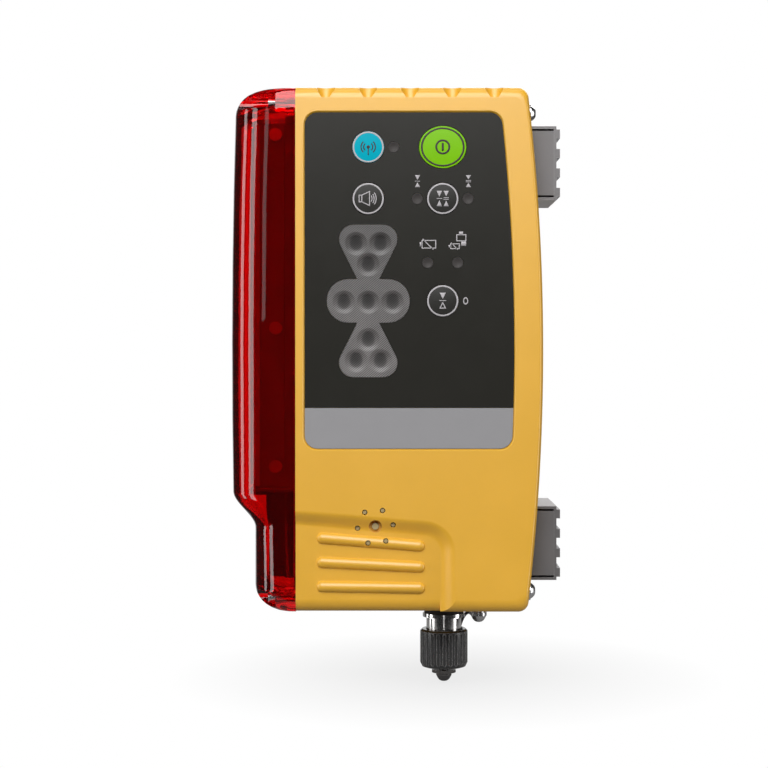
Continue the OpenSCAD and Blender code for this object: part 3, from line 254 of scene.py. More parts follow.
def startMaterial(name, sockets):
    # a material whose Principled shader has its plain values set
    material = bpy.data.materials.new(name)
    material.use_nodes = True
    tree = material.node_tree
    shader = tree.nodes["Principled BSDF"]
    for label, value in sockets.items():
        shader.inputs[label].default_value = value
    return material, tree, shader


def addBump(tree, shader, height, depth):
    bump = shaderNode(tree, "ShaderNodeBump", {"Height": height, "Distance": depth, "Strength": 1.0})
    tree.links.new(bump.outputs["Normal"], shader.inputs["Normal"])


def placeGroup(tree, group, inputs):
    return shaderNode(tree, "ShaderNodeGroup", inputs, node_tree=group).outputs


def surfaceFinish(name, finish):
    # grain or drawn lines give colour, roughness and height; lighter edges come on top: wear on most
    # finishes, a painted highlight on the dust cap
    material, tree, shader = startMaterial(name, finish.get("sockets", {}))
    inputs = {"Colour": finish["colour"], "Contrast": finish["contrast"], "Gloss": finish["gloss"]}
    if "stretch" in finish:
        base = placeGroup(tree, drawnLines, {**inputs, "Stretch": finish["stretch"]})
    else:
        base = placeGroup(tree, mouldGrain, {**inputs, "Grain": finish["grain"] * mm})
    colour = base["Colour"]
    if "rubbedAndGlint" in finish:
        rubbedAndGlint = {"Colour": colour, "RubbedAndGlint": finish["rubbedAndGlint"], "Radius": finish["rubGlintRadius"] * mm}
        colour = placeGroup(tree, edgeRubAndGlint, {**rubbedAndGlint, "Amount": finish["rubGlintAmount"]})["Colour"]
    tree.links.new(colour, shader.inputs["Base Color"])
    tree.links.new(base["Roughness"], shader.inputs["Roughness"])
    addBump(tree, shader, base["Height"], finish["bump"] * mm)
    return material


# Finishes, one for each kind of surface: grain, bump and lighter-edge sizes in millimetres,
# stretch as the noise's scale to the metre along x, y and z
metal = {"Metallic": 1.0}
finishes = {
    "yellowPlastic": dict(colour=rgb(228, 172, 42), grain=0.36, contrast=0.09, gloss=0.40, bump=0.02,
                          rubbedAndGlint=rgb(246, 212, 130), rubGlintRadius=0.5, rubGlintAmount=0.4,
                          sockets={"Specular IOR Level": 1.0}),
    "satinOverlay": dict(colour=rgb(38, 37, 33), grain=0.25, contrast=0.08, gloss=0.29, bump=0.004,
                         rubbedAndGlint=rgb(86, 84, 80), rubGlintRadius=0.2, rubGlintAmount=0.5,
                         sockets={"Specular IOR Level": 0.22}),
    "greyStrip": dict(colour=rgb(147, 146, 148), grain=0.22, contrast=0.06, gloss=0.5, bump=0.003,
                      sockets={"Specular IOR Level": 0.3}),
    "darkKey": dict(colour=rgb(37, 36, 33), grain=0.25, contrast=0.10, gloss=0.44, bump=0.004,
                    sockets={"Specular IOR Level": 0.3}),
    "tealKey": dict(colour=rgb(2, 164, 185), grain=0.25, contrast=0.06, gloss=0.38, bump=0.003,
                    sockets={"Specular IOR Level": 0.06}),
    "greenKey": dict(colour=rgb(120, 188, 8), grain=0.25, contrast=0.06, gloss=0.36, bump=0.003,
                     sockets={"Specular IOR Level": 0.15}),
    "greyInk": dict(colour=rgb(178, 174, 177), grain=0.15, contrast=0.10, gloss=0.55, bump=0.001),
    "darkInk": dict(colour=rgb(44, 30, 34), grain=0.15, contrast=0.10, gloss=0.55, bump=0.001),
    "dotSmoke": dict(colour=rgb(68, 65, 64), grain=0.3, contrast=0.10, gloss=0.45, bump=0.003,
                     sockets={"Specular IOR Level": 0.12}),
    "rubber": dict(colour=rgb(34, 33, 33), grain=0.2, contrast=0.20, gloss=0.72, bump=0.02),
    "blackPlastic": dict(colour=rgb(38, 37, 38), grain=0.3, contrast=0.12, gloss=0.42, bump=0.006,
                         rubbedAndGlint=rgb(92, 90, 90), rubGlintRadius=0.3, rubGlintAmount=0.7),
    # its edges are drawn near white in patches, where the rounded normal parts from the true one
    "carrierPlastic": dict(colour=rgb(133, 128, 128), grain=0.3, contrast=0.06, gloss=0.5, bump=0.006,
                           rubbedAndGlint=rgb(220, 216, 214), rubGlintRadius=0.8, rubGlintAmount=1.0),
    "sensorBoard": dict(colour=rgb(128, 122, 122), grain=0.4, contrast=0.2, gloss=0.55, bump=0.01),
    "diodePale": dict(colour=rgb(196, 190, 190), grain=0.3, contrast=0.2, gloss=0.25, bump=0.004),
    "boardGreen": dict(colour=rgb(26, 84, 52), grain=0.5, contrast=0.25, gloss=0.4, bump=0.01),
    "lampRed": dict(colour=rgb(168, 22, 20), grain=0.5, contrast=0.1, gloss=0.2, bump=0.002),
    "lampWhite": dict(colour=rgb(226, 222, 205), grain=0.5, contrast=0.1, gloss=0.3, bump=0.002),
    "cellWrap": dict(colour=rgb(58, 66, 74), grain=0.6, contrast=0.15, gloss=0.32, bump=0.004),
    "footSteel": dict(colour=rgb(116, 114, 115), grain=0.45, contrast=0.22, gloss=0.42, bump=0.012,
                      rubbedAndGlint=rgb(176, 174, 176), rubGlintRadius=0.5, rubGlintAmount=1.0, sockets={"Metallic": 0.55}),
    "footCore": dict(colour=rgb(112, 110, 111), grain=0.5, contrast=0.22, gloss=0.46, bump=0.012,
                     sockets={"Metallic": 0.4}),
    "magnetIron": dict(colour=rgb(84, 82, 84), grain=0.5, contrast=0.2, gloss=0.4, bump=0.01, sockets=metal),
    "screwSteel": dict(colour=rgb(196, 195, 196), stretch=(1500.0, 1500.0, 6000.0), contrast=0.12, gloss=0.26,
                       bump=0.004, rubbedAndGlint=rgb(236, 235, 234), rubGlintRadius=0.2, rubGlintAmount=0.7, sockets=metal),
    "brightNickel": dict(colour=rgb(214, 212, 210), stretch=(500.0, 500.0, 5000.0), contrast=0.08, gloss=0.14,
                         bump=0.002, rubbedAndGlint=rgb(240, 238, 236), rubGlintRadius=0.2, rubGlintAmount=0.6, sockets=metal),
    "ventTan": dict(colour=rgb(168, 150, 106), grain=0.4, contrast=0.2, gloss=0.45, bump=0.006),
    # the near-white on its knurl ridges is a painted highlight
    "capBlack": dict(colour=rgb(28, 28, 29), grain=0.35, contrast=0.2, gloss=0.14, bump=0.002,
                     rubbedAndGlint=rgb(214, 212, 212), rubGlintRadius=0.4, rubGlintAmount=1.0,
                     sockets={"Specular IOR Level": 1.0}),
    "darkNickel": dict(colour=rgb(112, 110, 109), stretch=(500.0, 500.0, 5000.0), contrast=0.08, gloss=0.12,
                       bump=0.002, rubbedAndGlint=rgb(240, 238, 236), rubGlintRadius=0.15, rubGlintAmount=0.5, sockets=metal),
    "paleSilicone": dict(colour=rgb(206, 202, 198), grain=0.3, contrast=0.08, gloss=0.5, bump=0.004),
    "screwZinc": dict(colour=rgb(206, 204, 202), grain=0.3, contrast=0.1, gloss=0.35, bump=0.003,
                      sockets={"Metallic": 0.5}),
}
looks = {name: surfaceFinish(name, finish) for name, finish in finishes.items()}


def makeRedWindow():
    # clear moulded red: slow flow waves in the skin bend what is seen through it
    flow = dict(waves=60.0, depth=0.06)
    sockets = {"Base Color": rgb(212, 6, 9), "Transmission Weight": 0.97, "IOR": 1.5, "Roughness": 0.02}
    material, tree, shader = startMaterial("redWindow", sockets)
    addBump(tree, shader, noiseOf(tree, objectPlace(tree), flow["waves"], 2.0), flow["depth"] * mm)
    return material


# Frosted display: its ruling, and a wide bowl round each of its nine lamps; painted shade darkens its top,
# each bowl's core and each dish, and painted light brightens its foot
hatch = dict(light=rgb(128, 124, 123), dark=rgb(26, 25, 25), paintedTopShade=0.5, paintedFootLight=1.25,
             pitch=0.75, slant=40.0, alongShare=0.8, acrossShare=0.2, gloss=0.34, bump=0.05,
             clouds=120.0, cloudShade=0.4, cloudGloss=0.15)
bowls = dict(pitch=10.7, high=25.8, low=16.5, drop=0.6, start=2.4, reach=5.4, depth=0.75,
             core=0.5, coreReach=3.6, coreRough=0.45, dishStart=0.05, dishFloor=0.8, paintedDishShade=0.4)


def nearestBowl(tree):
    # distance over the face to the nearest lamp: three in the pill, three in each arrow
    low, high = np.array(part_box("display_lens"))
    middle = (low + high) / 2
    lamps = [(k * bowls["pitch"], 0.0) for k in (-1, 0, 1)]
    lamps += [(k * bowls["pitch"] / 2, end * bowls["high"]) for end in (-1, 1) for k in (-1, 1)]
    lamps += [(0.0, end * bowls["low"]) for end in (-1, 1)]
    flat = {0: objectPlace(tree), 1: (1.0, 0.0, 1.0)}
    flat = shaderNode(tree, "ShaderNodeVectorMath", flat, operation="MULTIPLY").outputs["Vector"]
    nearest = bowls["reach"] * mm
    for x, z in lamps:
        centre = {0: flat, 1: (middle[0] + x * mm, 0.0, middle[2] + (z - bowls["drop"]) * mm)}
        away = shaderNode(tree, "ShaderNodeVectorMath", centre, operation="DISTANCE").outputs["Value"]
        nearest = mathNode(tree, "MINIMUM", away, nearest)
    return nearest


def ruledLines(tree, slant, share):
    # one set of slanting lines, a sine wave across them; the node's own pitch is pi / 10 at a scale of 1
    turn = {"Vector": objectPlace(tree), "Rotation": (0.0, math.radians(slant), 0.0)}
    turned = shaderNode(tree, "ShaderNodeMapping", turn).outputs["Vector"]
    waves = {"Vector": turned, "Scale": math.pi / (10.0 * hatch["pitch"] * mm), "Distortion": 0.0}
    lines = shaderNode(tree, "ShaderNodeTexWave", waves, bands_direction="Z").outputs["Fac"]
    return mathNode(tree, "MULTIPLY", lines, share)


def makeFrostedLens():
    # smoky moulded sheet, ruled with fine slanting lines and a fainter set across them; painted shade darkens
    # its top, its bowls' cores and the depth of its dishes, and painted light brightens its foot
    material, tree, shader = startMaterial("frostedLens", {"Specular IOR Level": 0.6})
    ruled = mathNode(tree, "ADD", ruledLines(tree, hatch["slant"], hatch["alongShare"]),
                     ruledLines(tree, -hatch["slant"], hatch["acrossShare"]))
    nearest = nearestBowl(tree)
    bowl = mapRange(tree, nearest, bowls["start"] * mm, bowls["reach"] * mm, soft=True)
    clear = mapRange(tree, nearest, bowls["start"] * mm, bowls["coreReach"] * mm)
    cloud = noiseOf(tree, objectPlace(tree), hatch["clouds"], 2.0)
    swing = mathNode(tree, "SUBTRACT", cloud, 0.5)
    shade = mathNode(tree, "MULTIPLY_ADD", swing, hatch["cloudShade"], ruled)
    (_, face, foot), (_, _, top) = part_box("display_lens")
    parts = shaderNode(tree, "ShaderNodeSeparateXYZ", {0: objectPlace(tree)}).outputs
    dish = face + bowls["dishStart"] * mm, face + bowls["dishFloor"] * mm
    # painted shade in each bowl's core and deeper in each dish, painted shade towards the top and painted
    # light towards the foot
    for darker in (mathNode(tree, "MULTIPLY_ADD", clear, 1.0 - bowls["core"], bowls["core"]),
                   mapRange(tree, parts["Z"], foot, top, hatch["paintedFootLight"], hatch["paintedTopShade"]),
                   mapRange(tree, parts["Y"], *dish, 1.0, bowls["paintedDishShade"])):
        shade = mathNode(tree, "MULTIPLY", shade, darker)
    tree.links.new(mixColours(tree, shade, hatch["dark"], hatch["light"]), shader.inputs["Base Color"])
    rough = mathNode(tree, "MULTIPLY_ADD", cloud, hatch["cloudGloss"], hatch["gloss"] + bowls["coreRough"])
    rough = mathNode(tree, "MULTIPLY_ADD", clear, -bowls["coreRough"], rough)
    tree.links.new(rough, shader.inputs["Roughness"])
    relief = mathNode(tree, "MULTIPLY_ADD", bowl, bowls["depth"] / hatch["bump"], ruled)
    addBump(tree, shader, relief, hatch["bump"] * mm)
    return material


def makeBraid():
    # woven sleeve of the lanyard, on the cord's own UV map: two sets of strands crossing, with painted shade
    # between the raised strands
    weave = dict(high=rgb(58, 57, 58), low=rgb(14, 14, 15), turns=26.0, strands=8.0,
                 rough=0.8, rubbedAndGlint=-0.15, bump=0.08)
    material, tree, shader = startMaterial("braidedCord", {"Sheen Weight": 0.3})
    place = tree.nodes.new("ShaderNodeUVMap").outputs["UV"]
    strands = []
    for side in (1.0, -1.0):
        size = {"Vector": place, "Scale": (weave["strands"], side * weave["turns"], 1.0)}
        split = shaderNode(tree, "ShaderNodeMapping", size).outputs["Vector"]
        parts = shaderNode(tree, "ShaderNodeSeparateXYZ", {0: split}).outputs
        phase = mathNode(tree, "MULTIPLY", mathNode(tree, "ADD", parts["X"], parts["Y"]), math.pi)
        strands.append(mathNode(tree, "ABSOLUTE", mathNode(tree, "SINE", phase)))
    raised = mathNode(tree, "MAXIMUM", *strands)
    # painted shade: darker between the raised strands
    tree.links.new(mixColours(tree, raised, weave["low"], weave["high"]), shader.inputs["Base Color"])
    rough = mathNode(tree, "MULTIPLY_ADD", raised, weave["rubbedAndGlint"], weave["rough"])
    tree.links.new(rough, shader.inputs["Roughness"])
    addBump(tree, shader, raised, weave["bump"] * mm)
    return material


def blackenCarrierFoot():
    # the carrier keeps its pale colour behind its boards and turns near black below them
    foot = dict(colour=rgb(15, 14, 14), start=1.0, soft=2.0)
    tree = looks["carrierPlastic"].node_tree
    base = tree.nodes["Principled BSDF"].inputs["Base Color"]
    paleTone = base.links[0].from_socket
    height = shaderNode(tree, "ShaderNodeSeparateXYZ", {0: objectPlace(tree)}).outputs["Z"]
    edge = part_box("sensor_boards")[0][2] - foot["start"] * mm
    pale = mapRange(tree, height, edge - foot["soft"] * mm, edge)
    tree.links.new(mixColours(tree, pale, foot["colour"], paleTone), base)


blackenCarrierFoot()
looks.update(redWindow=makeRedWindow(), frostedLens=makeFrostedLens(), braidedCord=makeBraid())
print("materials made:", len(looks))

# Which finish each node wears
finishNodes = {
    "yellowPlastic": "front_case rear_case battery_door",
    "redWindow": "window_cover",
    "rubber": "case_gasket door_gasket connector_gasket",
    "paleSilicone": "window_gasket",
    "screwZinc": "carrier_screws",
    "screwSteel": "case_screws window_screws board_screws foot_screws side_screws door_pin "
                  "door_screw lanyard_screw lanyard_bush lanyard_eye battery_contacts radio_module",
    "carrierPlastic": "sensor_carrier",
    "sensorBoard": "sensor_boards",
    "diodePale": "photodiodes",
    "blackPlastic": "key_switches buzzer connector_insert",
    "satinOverlay": "control_panel",
    "greyStrip": "name_strip",
    "greenKey": "power_key",
    "tealKey": "wireless_key",
    "darkKey": "speaker_key deadband_key zero_key",
    "frostedLens": "display_lens",
    "lampRed": "display_leds",
    "dotSmoke": "indicator_lenses",
    "lampWhite": "indicator_leds",
    "boardGreen": "main_board",
    "ventTan": "vent_plug",
    "cellWrap": "batteries",
    "footSteel": "upper_magnet_yoke lower_magnet_yoke",
    "footCore": "upper_magnet_core lower_magnet_core",
    "magnetIron": "bar_magnets",
    "brightNickel": "connector_shell connector_nut",
    "darkNickel": "cap_rivet cap_ring",
    "capBlack": "dust_cap",
    "braidedCord": "lanyard",
}
nodeLook = {node: looks[finish] for finish, names in finishNodes.items() for node in names.split()}
for node, piece in frame["nodes"].items():
    piece.data.materials.clear()
    piece.data.materials.append(nodeLook[node])
print("finishes set on", len(nodeLook), "nodes")


# Smooth skins: a moulded node's triangles welded together and shaded smooth up to its real edges
skins = dict(
    edgeAngle=34.0,
    weld=0.001,
    pieces=dict(frontShell="front_case", rearShell="rear_case", redLens="window_cover",
                batteryLid="battery_door", powerButton="power_key"),
)


def smoothSkin(name, node):
    source = frame["nodes"][node].data
    points = np.empty(len(source.vertices) * 3)
    source.vertices.foreach_get("co", points)
    corners = np.empty(len(source.loops), int)
    source.loops.foreach_get("vertex_index", corners)
    keys = np.round(points.reshape(-1, 3) / (skins["weld"] * mm)).astype(np.int64)
    _, first, welded = np.unique(keys, axis=0, return_index=True, return_inverse=True)
    triangles = welded.ravel()[corners].reshape(-1, 3)
    a, b, c = triangles.T
    triangles = triangles[(a != b) & (b != c) & (c != a)]
    piece = meshObject(name, points.reshape(-1, 3)[first], triangles, nodeLook[node])
    piece.data.set_sharp_from_angle(angle=math.radians(skins["edgeAngle"]))
    weighted = piece.modifiers.new("evenShading", "WEIGHTED_NORMAL")
    weighted.mode = "FACE_AREA"
    weighted.keep_sharp = True
    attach(piece, nodeBody[node])
    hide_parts(node)


for skinName, skinNode in skins["pieces"].items():
    smoothSkin(skinName, skinNode)
print("smooth skins made:", len(skins["pieces"]))


# Lanyard: a limp braided cord from the eye by the socket, behind the cap, to the cap's ring
lanyard = dict(
    route=[(78.6, 4.4, -5.3), (77.5, 5.7, -5.6), (76.4, 6.9, -6.6), (75.4, 7.9, -8.2), (74.6, 8.8, -10.2),
           (73.9, 9.6, -12.4), (73.1, 10.4, -14.8), (72.3, 11.1, -17.3), (71.4, 11.6, -19.9),
           (70.5, 11.9, -22.5), (69.6, 11.9, -25.1), (68.7, 11.5, -27.6), (67.8, 10.5, -29.8),
           (66.5, 8.6, -31.4), (66.3, 6.45, -31.5)],
    diameter=1.5,
    sides=14,
    stepsPerSpan=8,
    leanSide=(1.0, 0.0, 0.3),
)


def smoothPath(points, steps):
    # Catmull-Rom curve through the points: each span is a cubic of its two ends and their neighbours
    points = np.asarray(points, float)
    padded = np.vstack([2 * points[0] - points[1], points, 2 * points[-1] - points[-2]])
    t = (np.arange(steps) / steps)[None, :, None]
    before, start, end, after = [padded[k:len(padded) - 3 + k, None, :] for k in range(4)]
    spans = 0.5 * (2 * start + (end - before) * t + (2 * before - 5 * start + 4 * end - after) * t ** 2
                   + (3 * start - before - 3 * end + after) * t ** 3)
    return np.vstack([spans.reshape(-1, 3), points[-1]])


def sweptTube(path, radius, sides):
    # a circle carried along the path, square to it; each ring leans on one fixed side
    along = np.gradient(path, axis=0)
    along /= np.linalg.norm(along, axis=1, keepdims=True)
    side = np.cross(along, np.array(lanyard["leanSide"]))
    side /= np.linalg.norm(side, axis=1, keepdims=True)
    up = np.cross(along, side)
    turn = 2 * math.pi * np.arange(sides) / sides
    ring = side[:, None, :] * np.cos(turn)[None, :, None] + up[:, None, :] * np.sin(turn)[None, :, None]
    return path[:, None, :] + radius * ring


def makeLanyard():
    path = smoothPath(lanyard["route"], lanyard["stepsPerSpan"])
    rings = sweptTube(path, lanyard["diameter"] / 2, lanyard["sides"])
    rows, sides = rings.shape[:2]
    vertices = np.vstack([rings.reshape(-1, 3), path[[0, -1]]])
    walls = gridFaces(rows, sides, closeColumns=True)
    k = np.arange(sides)
    nextK = (k + 1) % sides
    last = (rows - 1) * sides
    startCap = np.stack([np.full(sides, rows * sides), k, nextK], axis=1)
    endCap = np.stack([np.full(sides, rows * sides + 1), last + nextK, last + k], axis=1)
    faces = walls[:, ::-1].tolist() + startCap[:, ::-1].tolist() + endCap[:, ::-1].tolist()
    piece = meshObject("lanyardCord", place(vertices), faces, looks["braidedCord"])
    # UV: once round the cord across, its length along
    corners = np.empty(len(piece.data.loops), int)
    piece.data.loops.foreach_get("vertex_index", corners)
    run = np.concatenate([[0.0], np.cumsum(np.linalg.norm(np.diff(path, axis=0), axis=1))])
    ringOf = np.minimum(corners // sides, rows - 1)
    uv = np.stack([(corners % sides) / sides, run[ringOf] / run[-1]], axis=1)
    piece.data.uv_layers.new(name="UVMap").data.foreach_set("uv", uv.ravel())
    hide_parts("lanyard")
    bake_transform(piece)
    return float(run[-1])


print("lanyard made, millimetres long:", round(makeLanyard(), 2))


# Printed signs: flat patches worked out on a grid of x and z, then laid on the surface that carries them
strokes = dict(step=0.7, mitreLeast=0.4)


def ringPatch(centre, inner, outer, start=0.0, stop=360.0, aspect=1.0, steps=72):
    # radius across, angle along; aspect flattens the ring in z
    turn = np.radians(np.linspace(start, stop, steps + 1))[:, None]
    radius = np.linspace(inner, outer, 4)[None, :]
    return np.stack([centre[0] + radius * np.cos(turn), centre[1] + aspect * radius * np.sin(turn)], axis=2)


def strokePatch(points, width, closed=False, centre=(0.0, 0.0)):
    # a line of even width in short steps: each corner is moved out along the mitre of its two sides
    corners = np.asarray(points, float) + np.asarray(centre)
    line = []
    for start, end in zip(corners, np.roll(corners, -1, axis=0) if closed else corners[1:]):
        count = max(1, math.ceil(np.linalg.norm(end - start) / strokes["step"]))
        line.append(start + (end - start) * (np.arange(count) / count)[:, None])
    line = np.vstack(line if closed else line + [corners[-1:]])
    if closed:
        line = np.vstack([line[-1], line, line[:2]])
    ways = np.diff(line, axis=0)
    ways /= np.linalg.norm(ways, axis=1, keepdims=True)
    before = np.vstack([ways[0], ways])
    after = np.vstack([ways, ways[-1]])
    mitre = np.stack([-(before + after)[:, 1], (before + after)[:, 0]], axis=1)
    mitre /= np.linalg.norm(mitre, axis=1, keepdims=True)
    spread = mitre[:, 0] * -after[:, 1] + mitre[:, 1] * after[:, 0]
    reach = 1.0 / np.maximum(spread, strokes["mitreLeast"])
    shift = mitre * reach[:, None]
    patch = line[:, None, :] + shift[:, None, :] * np.array([-0.5, 0.0, 0.5])[None, :, None] * width
    return patch[1:-1] if closed else patch


def trianglePatch(tip, baseLeft, baseRight, centre=(0.0, 0.0), steps=4):
    # from the tip down to the base, each row a share of the base
    down = np.linspace(0.0, 1.0, steps + 1)[:, None, None]
    across = np.linspace(0.0, 1.0, steps + 1)[None, :, None]
    tip, baseLeft, baseRight = [np.asarray(corner, float) for corner in (tip, baseLeft, baseRight)]
    return tip + down * (baseLeft + across * (baseRight - baseLeft) - tip) + np.asarray(centre)


def boxPatch(low, high, centre=(0.0, 0.0)):
    # a filled box is one wide level stroke
    middle = (low[1] + high[1]) / 2
    return strokePatch([(low[0], middle), (high[0], middle)], high[1] - low[1], centre=centre)


def arrowPair(centre, width, top, tip, lines, lineWidth):
    # two triangles tip to tip, with one or more level lines between them
    patches = [trianglePatch((0, side * tip), (-width / 2, side * top), (width / 2, side * top), centre)
               for side in (1, -1)]
    half = width / 2
    return patches + [strokePatch([(-half, z), (half, z)], lineWidth, centre=centre) for z in lines]


cellShares = dict(nubLong=2.2, nubHalf=0.28, slashFrom=0.05, slashTo=0.82, overrun=1.4)


def crossedCell(centre, low, high, stroke):
    # an empty cell with its nub at the left and a line drawn across it
    middle, width, height = (low[1] + high[1]) / 2, high[0] - low[0], high[1] - low[1]
    nubHalf, overrun = cellShares["nubHalf"] * height, cellShares["overrun"] * stroke
    frameLine = [(low[0], low[1]), (high[0], low[1]), (high[0], high[1]), (low[0], high[1])]
    nub = (low[0] - cellShares["nubLong"] * stroke, middle - nubHalf), (low[0], middle + nubHalf)
    slash = [(low[0] + cellShares["slashFrom"] * width, high[1] + overrun),
             (low[0] + cellShares["slashTo"] * width, low[1] - overrun)]
    return [strokePatch(frameLine, stroke, closed=True, centre=centre), boxPatch(*nub, centre=centre),
            strokePatch(slash, stroke, centre=centre)]


film = dict(proud=0.03, thicknessShare=0.8, weld=0.002)


def layPrint(name, patches, depthAt, body, look):
    # every patch becomes a thin solid film on the surface whose depth is given
    vertices, faces, count = [], [], 0
    for patch in patches:
        rows, columns = patch.shape[:2]
        flat = patch.reshape(-1, 2)
        quads = gridFaces(rows, columns)
        a, b, c, d = [flat[quads[:, k]] for k in range(4)]
        area = np.sum(np.cross(c - a, d - b))
        quads = quads if area > 0 else quads[:, ::-1]
        x, z = flat.T
        vertices.append(np.stack([x, depthAt(x, z) - film["proud"], z], axis=1))
        faces.append(quads + count)
        count += len(flat)
    piece = meshObject(name, place(np.vstack(vertices)), np.vstack(faces).tolist(), look)
    welded = bmesh.new()
    welded.from_mesh(piece.data)
    bmesh.ops.remove_doubles(welded, verts=welded.verts, dist=film["weld"] * mm)
    welded.to_mesh(piece.data)
    welded.free()
    wall = piece.modifiers.new("film", "SOLIDIFY")
    wall.thickness = film["thicknessShare"] * film["proud"] * mm
    wall.offset = -1.0
    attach(piece, body)


# Where signs lie: the overlay's flat face, and the domed key tops, whose collars reach out behind it
panelFace = local("control_panel")[0][1]
keyTops = dict(collar=1.0, crown=0.45, ringIn=6.15, ringOut=6.85, stroke=0.42)


def onPanel(x, z):
    # one depth all over
    return np.full(np.shape(x), panelFace)


def onDome(node):
    # a key's top: lowest depth at its middle, falling away with the square of the radius
    low, high = local(node)
    middle = (low + high) / 2
    reach = (high - low) / 2 - keyTops["collar"]

    def depthAt(x, z):
        away = ((x - middle[0]) / reach[0]) ** 2 + ((z - middle[2]) / reach[2]) ** 2
        return low[1] + keyTops["crown"] * away

    return depthAt


def keyMiddle(node):
    low, high = local(node)
    return (low[0] + high[0]) / 2, (low[2] + high[2]) / 2


speakerSign = dict(
    horn=[(-4.0, -1.45), (-2.8, -1.45), (0.6, -3.1), (0.6, 3.1), (-2.8, 1.45), (-4.0, 1.45)],
    throat=[(-2.8, -1.45), (-2.8, 1.45)],
    waveShift=0.9, waveWidth=0.4, waves=((2.4, 30.0), (3.3, 34.0), (4.2, 36.0)),
)
deadbandSign = dict(width=2.3, top=3.4, pairs=((-1.5, 0.7, (0.0,), 0.32), (1.5, 0.9, (0.35, -0.35), 0.3)))
zeroSign = dict(filled=((0, 0.75), (-1.4, 3.6), (1.4, 3.6)), line=[(-1.5, 0.1), (1.5, 0.1)], lineWidth=0.34,
                hollow=[(0, -0.9), (1.2, -3.2), (-1.2, -3.2)])
wirelessSign = dict(dot=0.75, waves=(1.7, 2.9), waveWidth=0.5, spread=48.0, mast=[(0, -0.6), (0, -3.6)])
powerSign = dict(ringShares=(0.425, 0.465), circle=(2.45, 3.3), bar=[(0, -1.75), (0, 1.75)], barWidth=0.9)


def printGreyKeys():
    # a ring and a sign in grey ink on each dark key
    stroke = keyTops["stroke"]
    speaker, deadband, zero = [keyMiddle(name + "_key") for name in ("speaker", "deadband", "zero")]
    horn = [strokePatch(speakerSign["horn"], stroke, closed=True, centre=speaker),
            strokePatch(speakerSign["throat"], stroke, centre=speaker)]
    waveMiddle = speaker[0] - speakerSign["waveShift"], speaker[1]
    horn += [ringPatch(waveMiddle, r, r + speakerSign["waveWidth"], -spread, spread, steps=16)
             for r, spread in speakerSign["waves"]]
    bands = []
    for shift, tip, lines, lineWidth in deadbandSign["pairs"]:
        bands += arrowPair((deadband[0] + shift, deadband[1]), deadbandSign["width"], deadbandSign["top"],
                           tip, lines, lineWidth)
    level = [trianglePatch(*zeroSign["filled"], zero),
             strokePatch(zeroSign["line"], zeroSign["lineWidth"], centre=zero),
             strokePatch(zeroSign["hollow"], stroke, closed=True, centre=zero)]
    for node, sign in (("speaker_key", horn), ("deadband_key", bands), ("zero_key", level)):
        patches = [ringPatch(keyMiddle(node), keyTops["ringIn"], keyTops["ringOut"])] + sign
        layPrint(node.split("_")[0] + "Sign", patches, onDome(node), nodeBody[node],
                 looks["greyInk"])


def printColourKeys():
    # a ring and radio waves on the teal key, an oval ring with a circle and a bar on the green one
    wireless, power = keyMiddle("wireless_key"), keyMiddle("power_key")
    ring = ringPatch(wireless, keyTops["ringIn"], keyTops["ringOut"])
    layPrint("wirelessRing", [ring], onDome("wireless_key"), "wireless_key", looks["greyInk"])
    spread, width = wirelessSign["spread"], wirelessSign["waveWidth"]
    waves = [ringPatch(wireless, 0.0, wirelessSign["dot"], steps=24)]
    waves += [ringPatch(wireless, r, r + width, side - spread, side + spread, steps=20)
              for r in wirelessSign["waves"] for side in (0.0, 180.0)]
    waves.append(strokePatch(wirelessSign["mast"], width, centre=wireless))
    layPrint("wirelessSign", waves, onDome("wireless_key"), "wireless_key", looks["darkInk"])
    low, high = local("power_key")
    width, height = [(high - low)[axis] - 2 * keyTops["collar"] for axis in (0, 2)]
    inner, outer = [share * width for share in powerSign["ringShares"]]
    sign = [ringPatch(power, inner, outer, aspect=height / width, steps=96),
            ringPatch(power, *powerSign["circle"]),
            strokePatch(powerSign["bar"], powerSign["barWidth"], centre=power)]
    layPrint("powerSign", sign, onDome("power_key"), "power_key", looks["darkInk"])


panelMarks = dict(
    fine=dict(centre=(53.8, 190.2), width=2.3, top=2.65, tip=0.55, lines=(0.0,), lineWidth=0.3),
    wide=dict(centre=(76.2, 190.2), width=2.3, top=2.65, tip=0.75, lines=(0.32, -0.32), lineWidth=0.28),
    cell=dict(centre=(58.3, 162.5), low=(-2.5, -1.8), high=(3.5, 1.6), stroke=0.45),
    remote=(71.7, 164.0),
    remoteBoxes=(((0.35, 2.7), (2.15, 4.0)), ((1.3, -2.3), (3.5, -0.1))),
    remoteFrame=[(-0.6, -0.1), (3.4, -0.1), (3.4, 2.6), (-0.6, 2.6)], remoteStroke=0.45,
    remoteCell=dict(centre=(71.7, 161.6), low=(-3.3, -1.1), high=(0.5, 1.0), stroke=0.4),
    nought=dict(centre=(75.0, 137.5), inner=0.72, outer=1.12, aspect=1.45, steps=40),
)


def printPanel():
    # arrow pairs, crossed cells and a nought in grey ink on the overlay
    marks, remote = panelMarks, panelMarks["remote"]
    signs = arrowPair(**marks["fine"]) + arrowPair(**marks["wide"]) + crossedCell(**marks["cell"])
    signs += [boxPatch(low, high, remote) for low, high in marks["remoteBoxes"]]
    signs.append(strokePatch(marks["remoteFrame"], marks["remoteStroke"], closed=True, centre=remote))
    signs += crossedCell(**marks["remoteCell"])
    signs.append(ringPatch(**marks["nought"]))
    layPrint("panelSigns", signs, onPanel, "root", looks["greyInk"])


printGreyKeys()
printColourKeys()
printPanel()
print("signs printed")


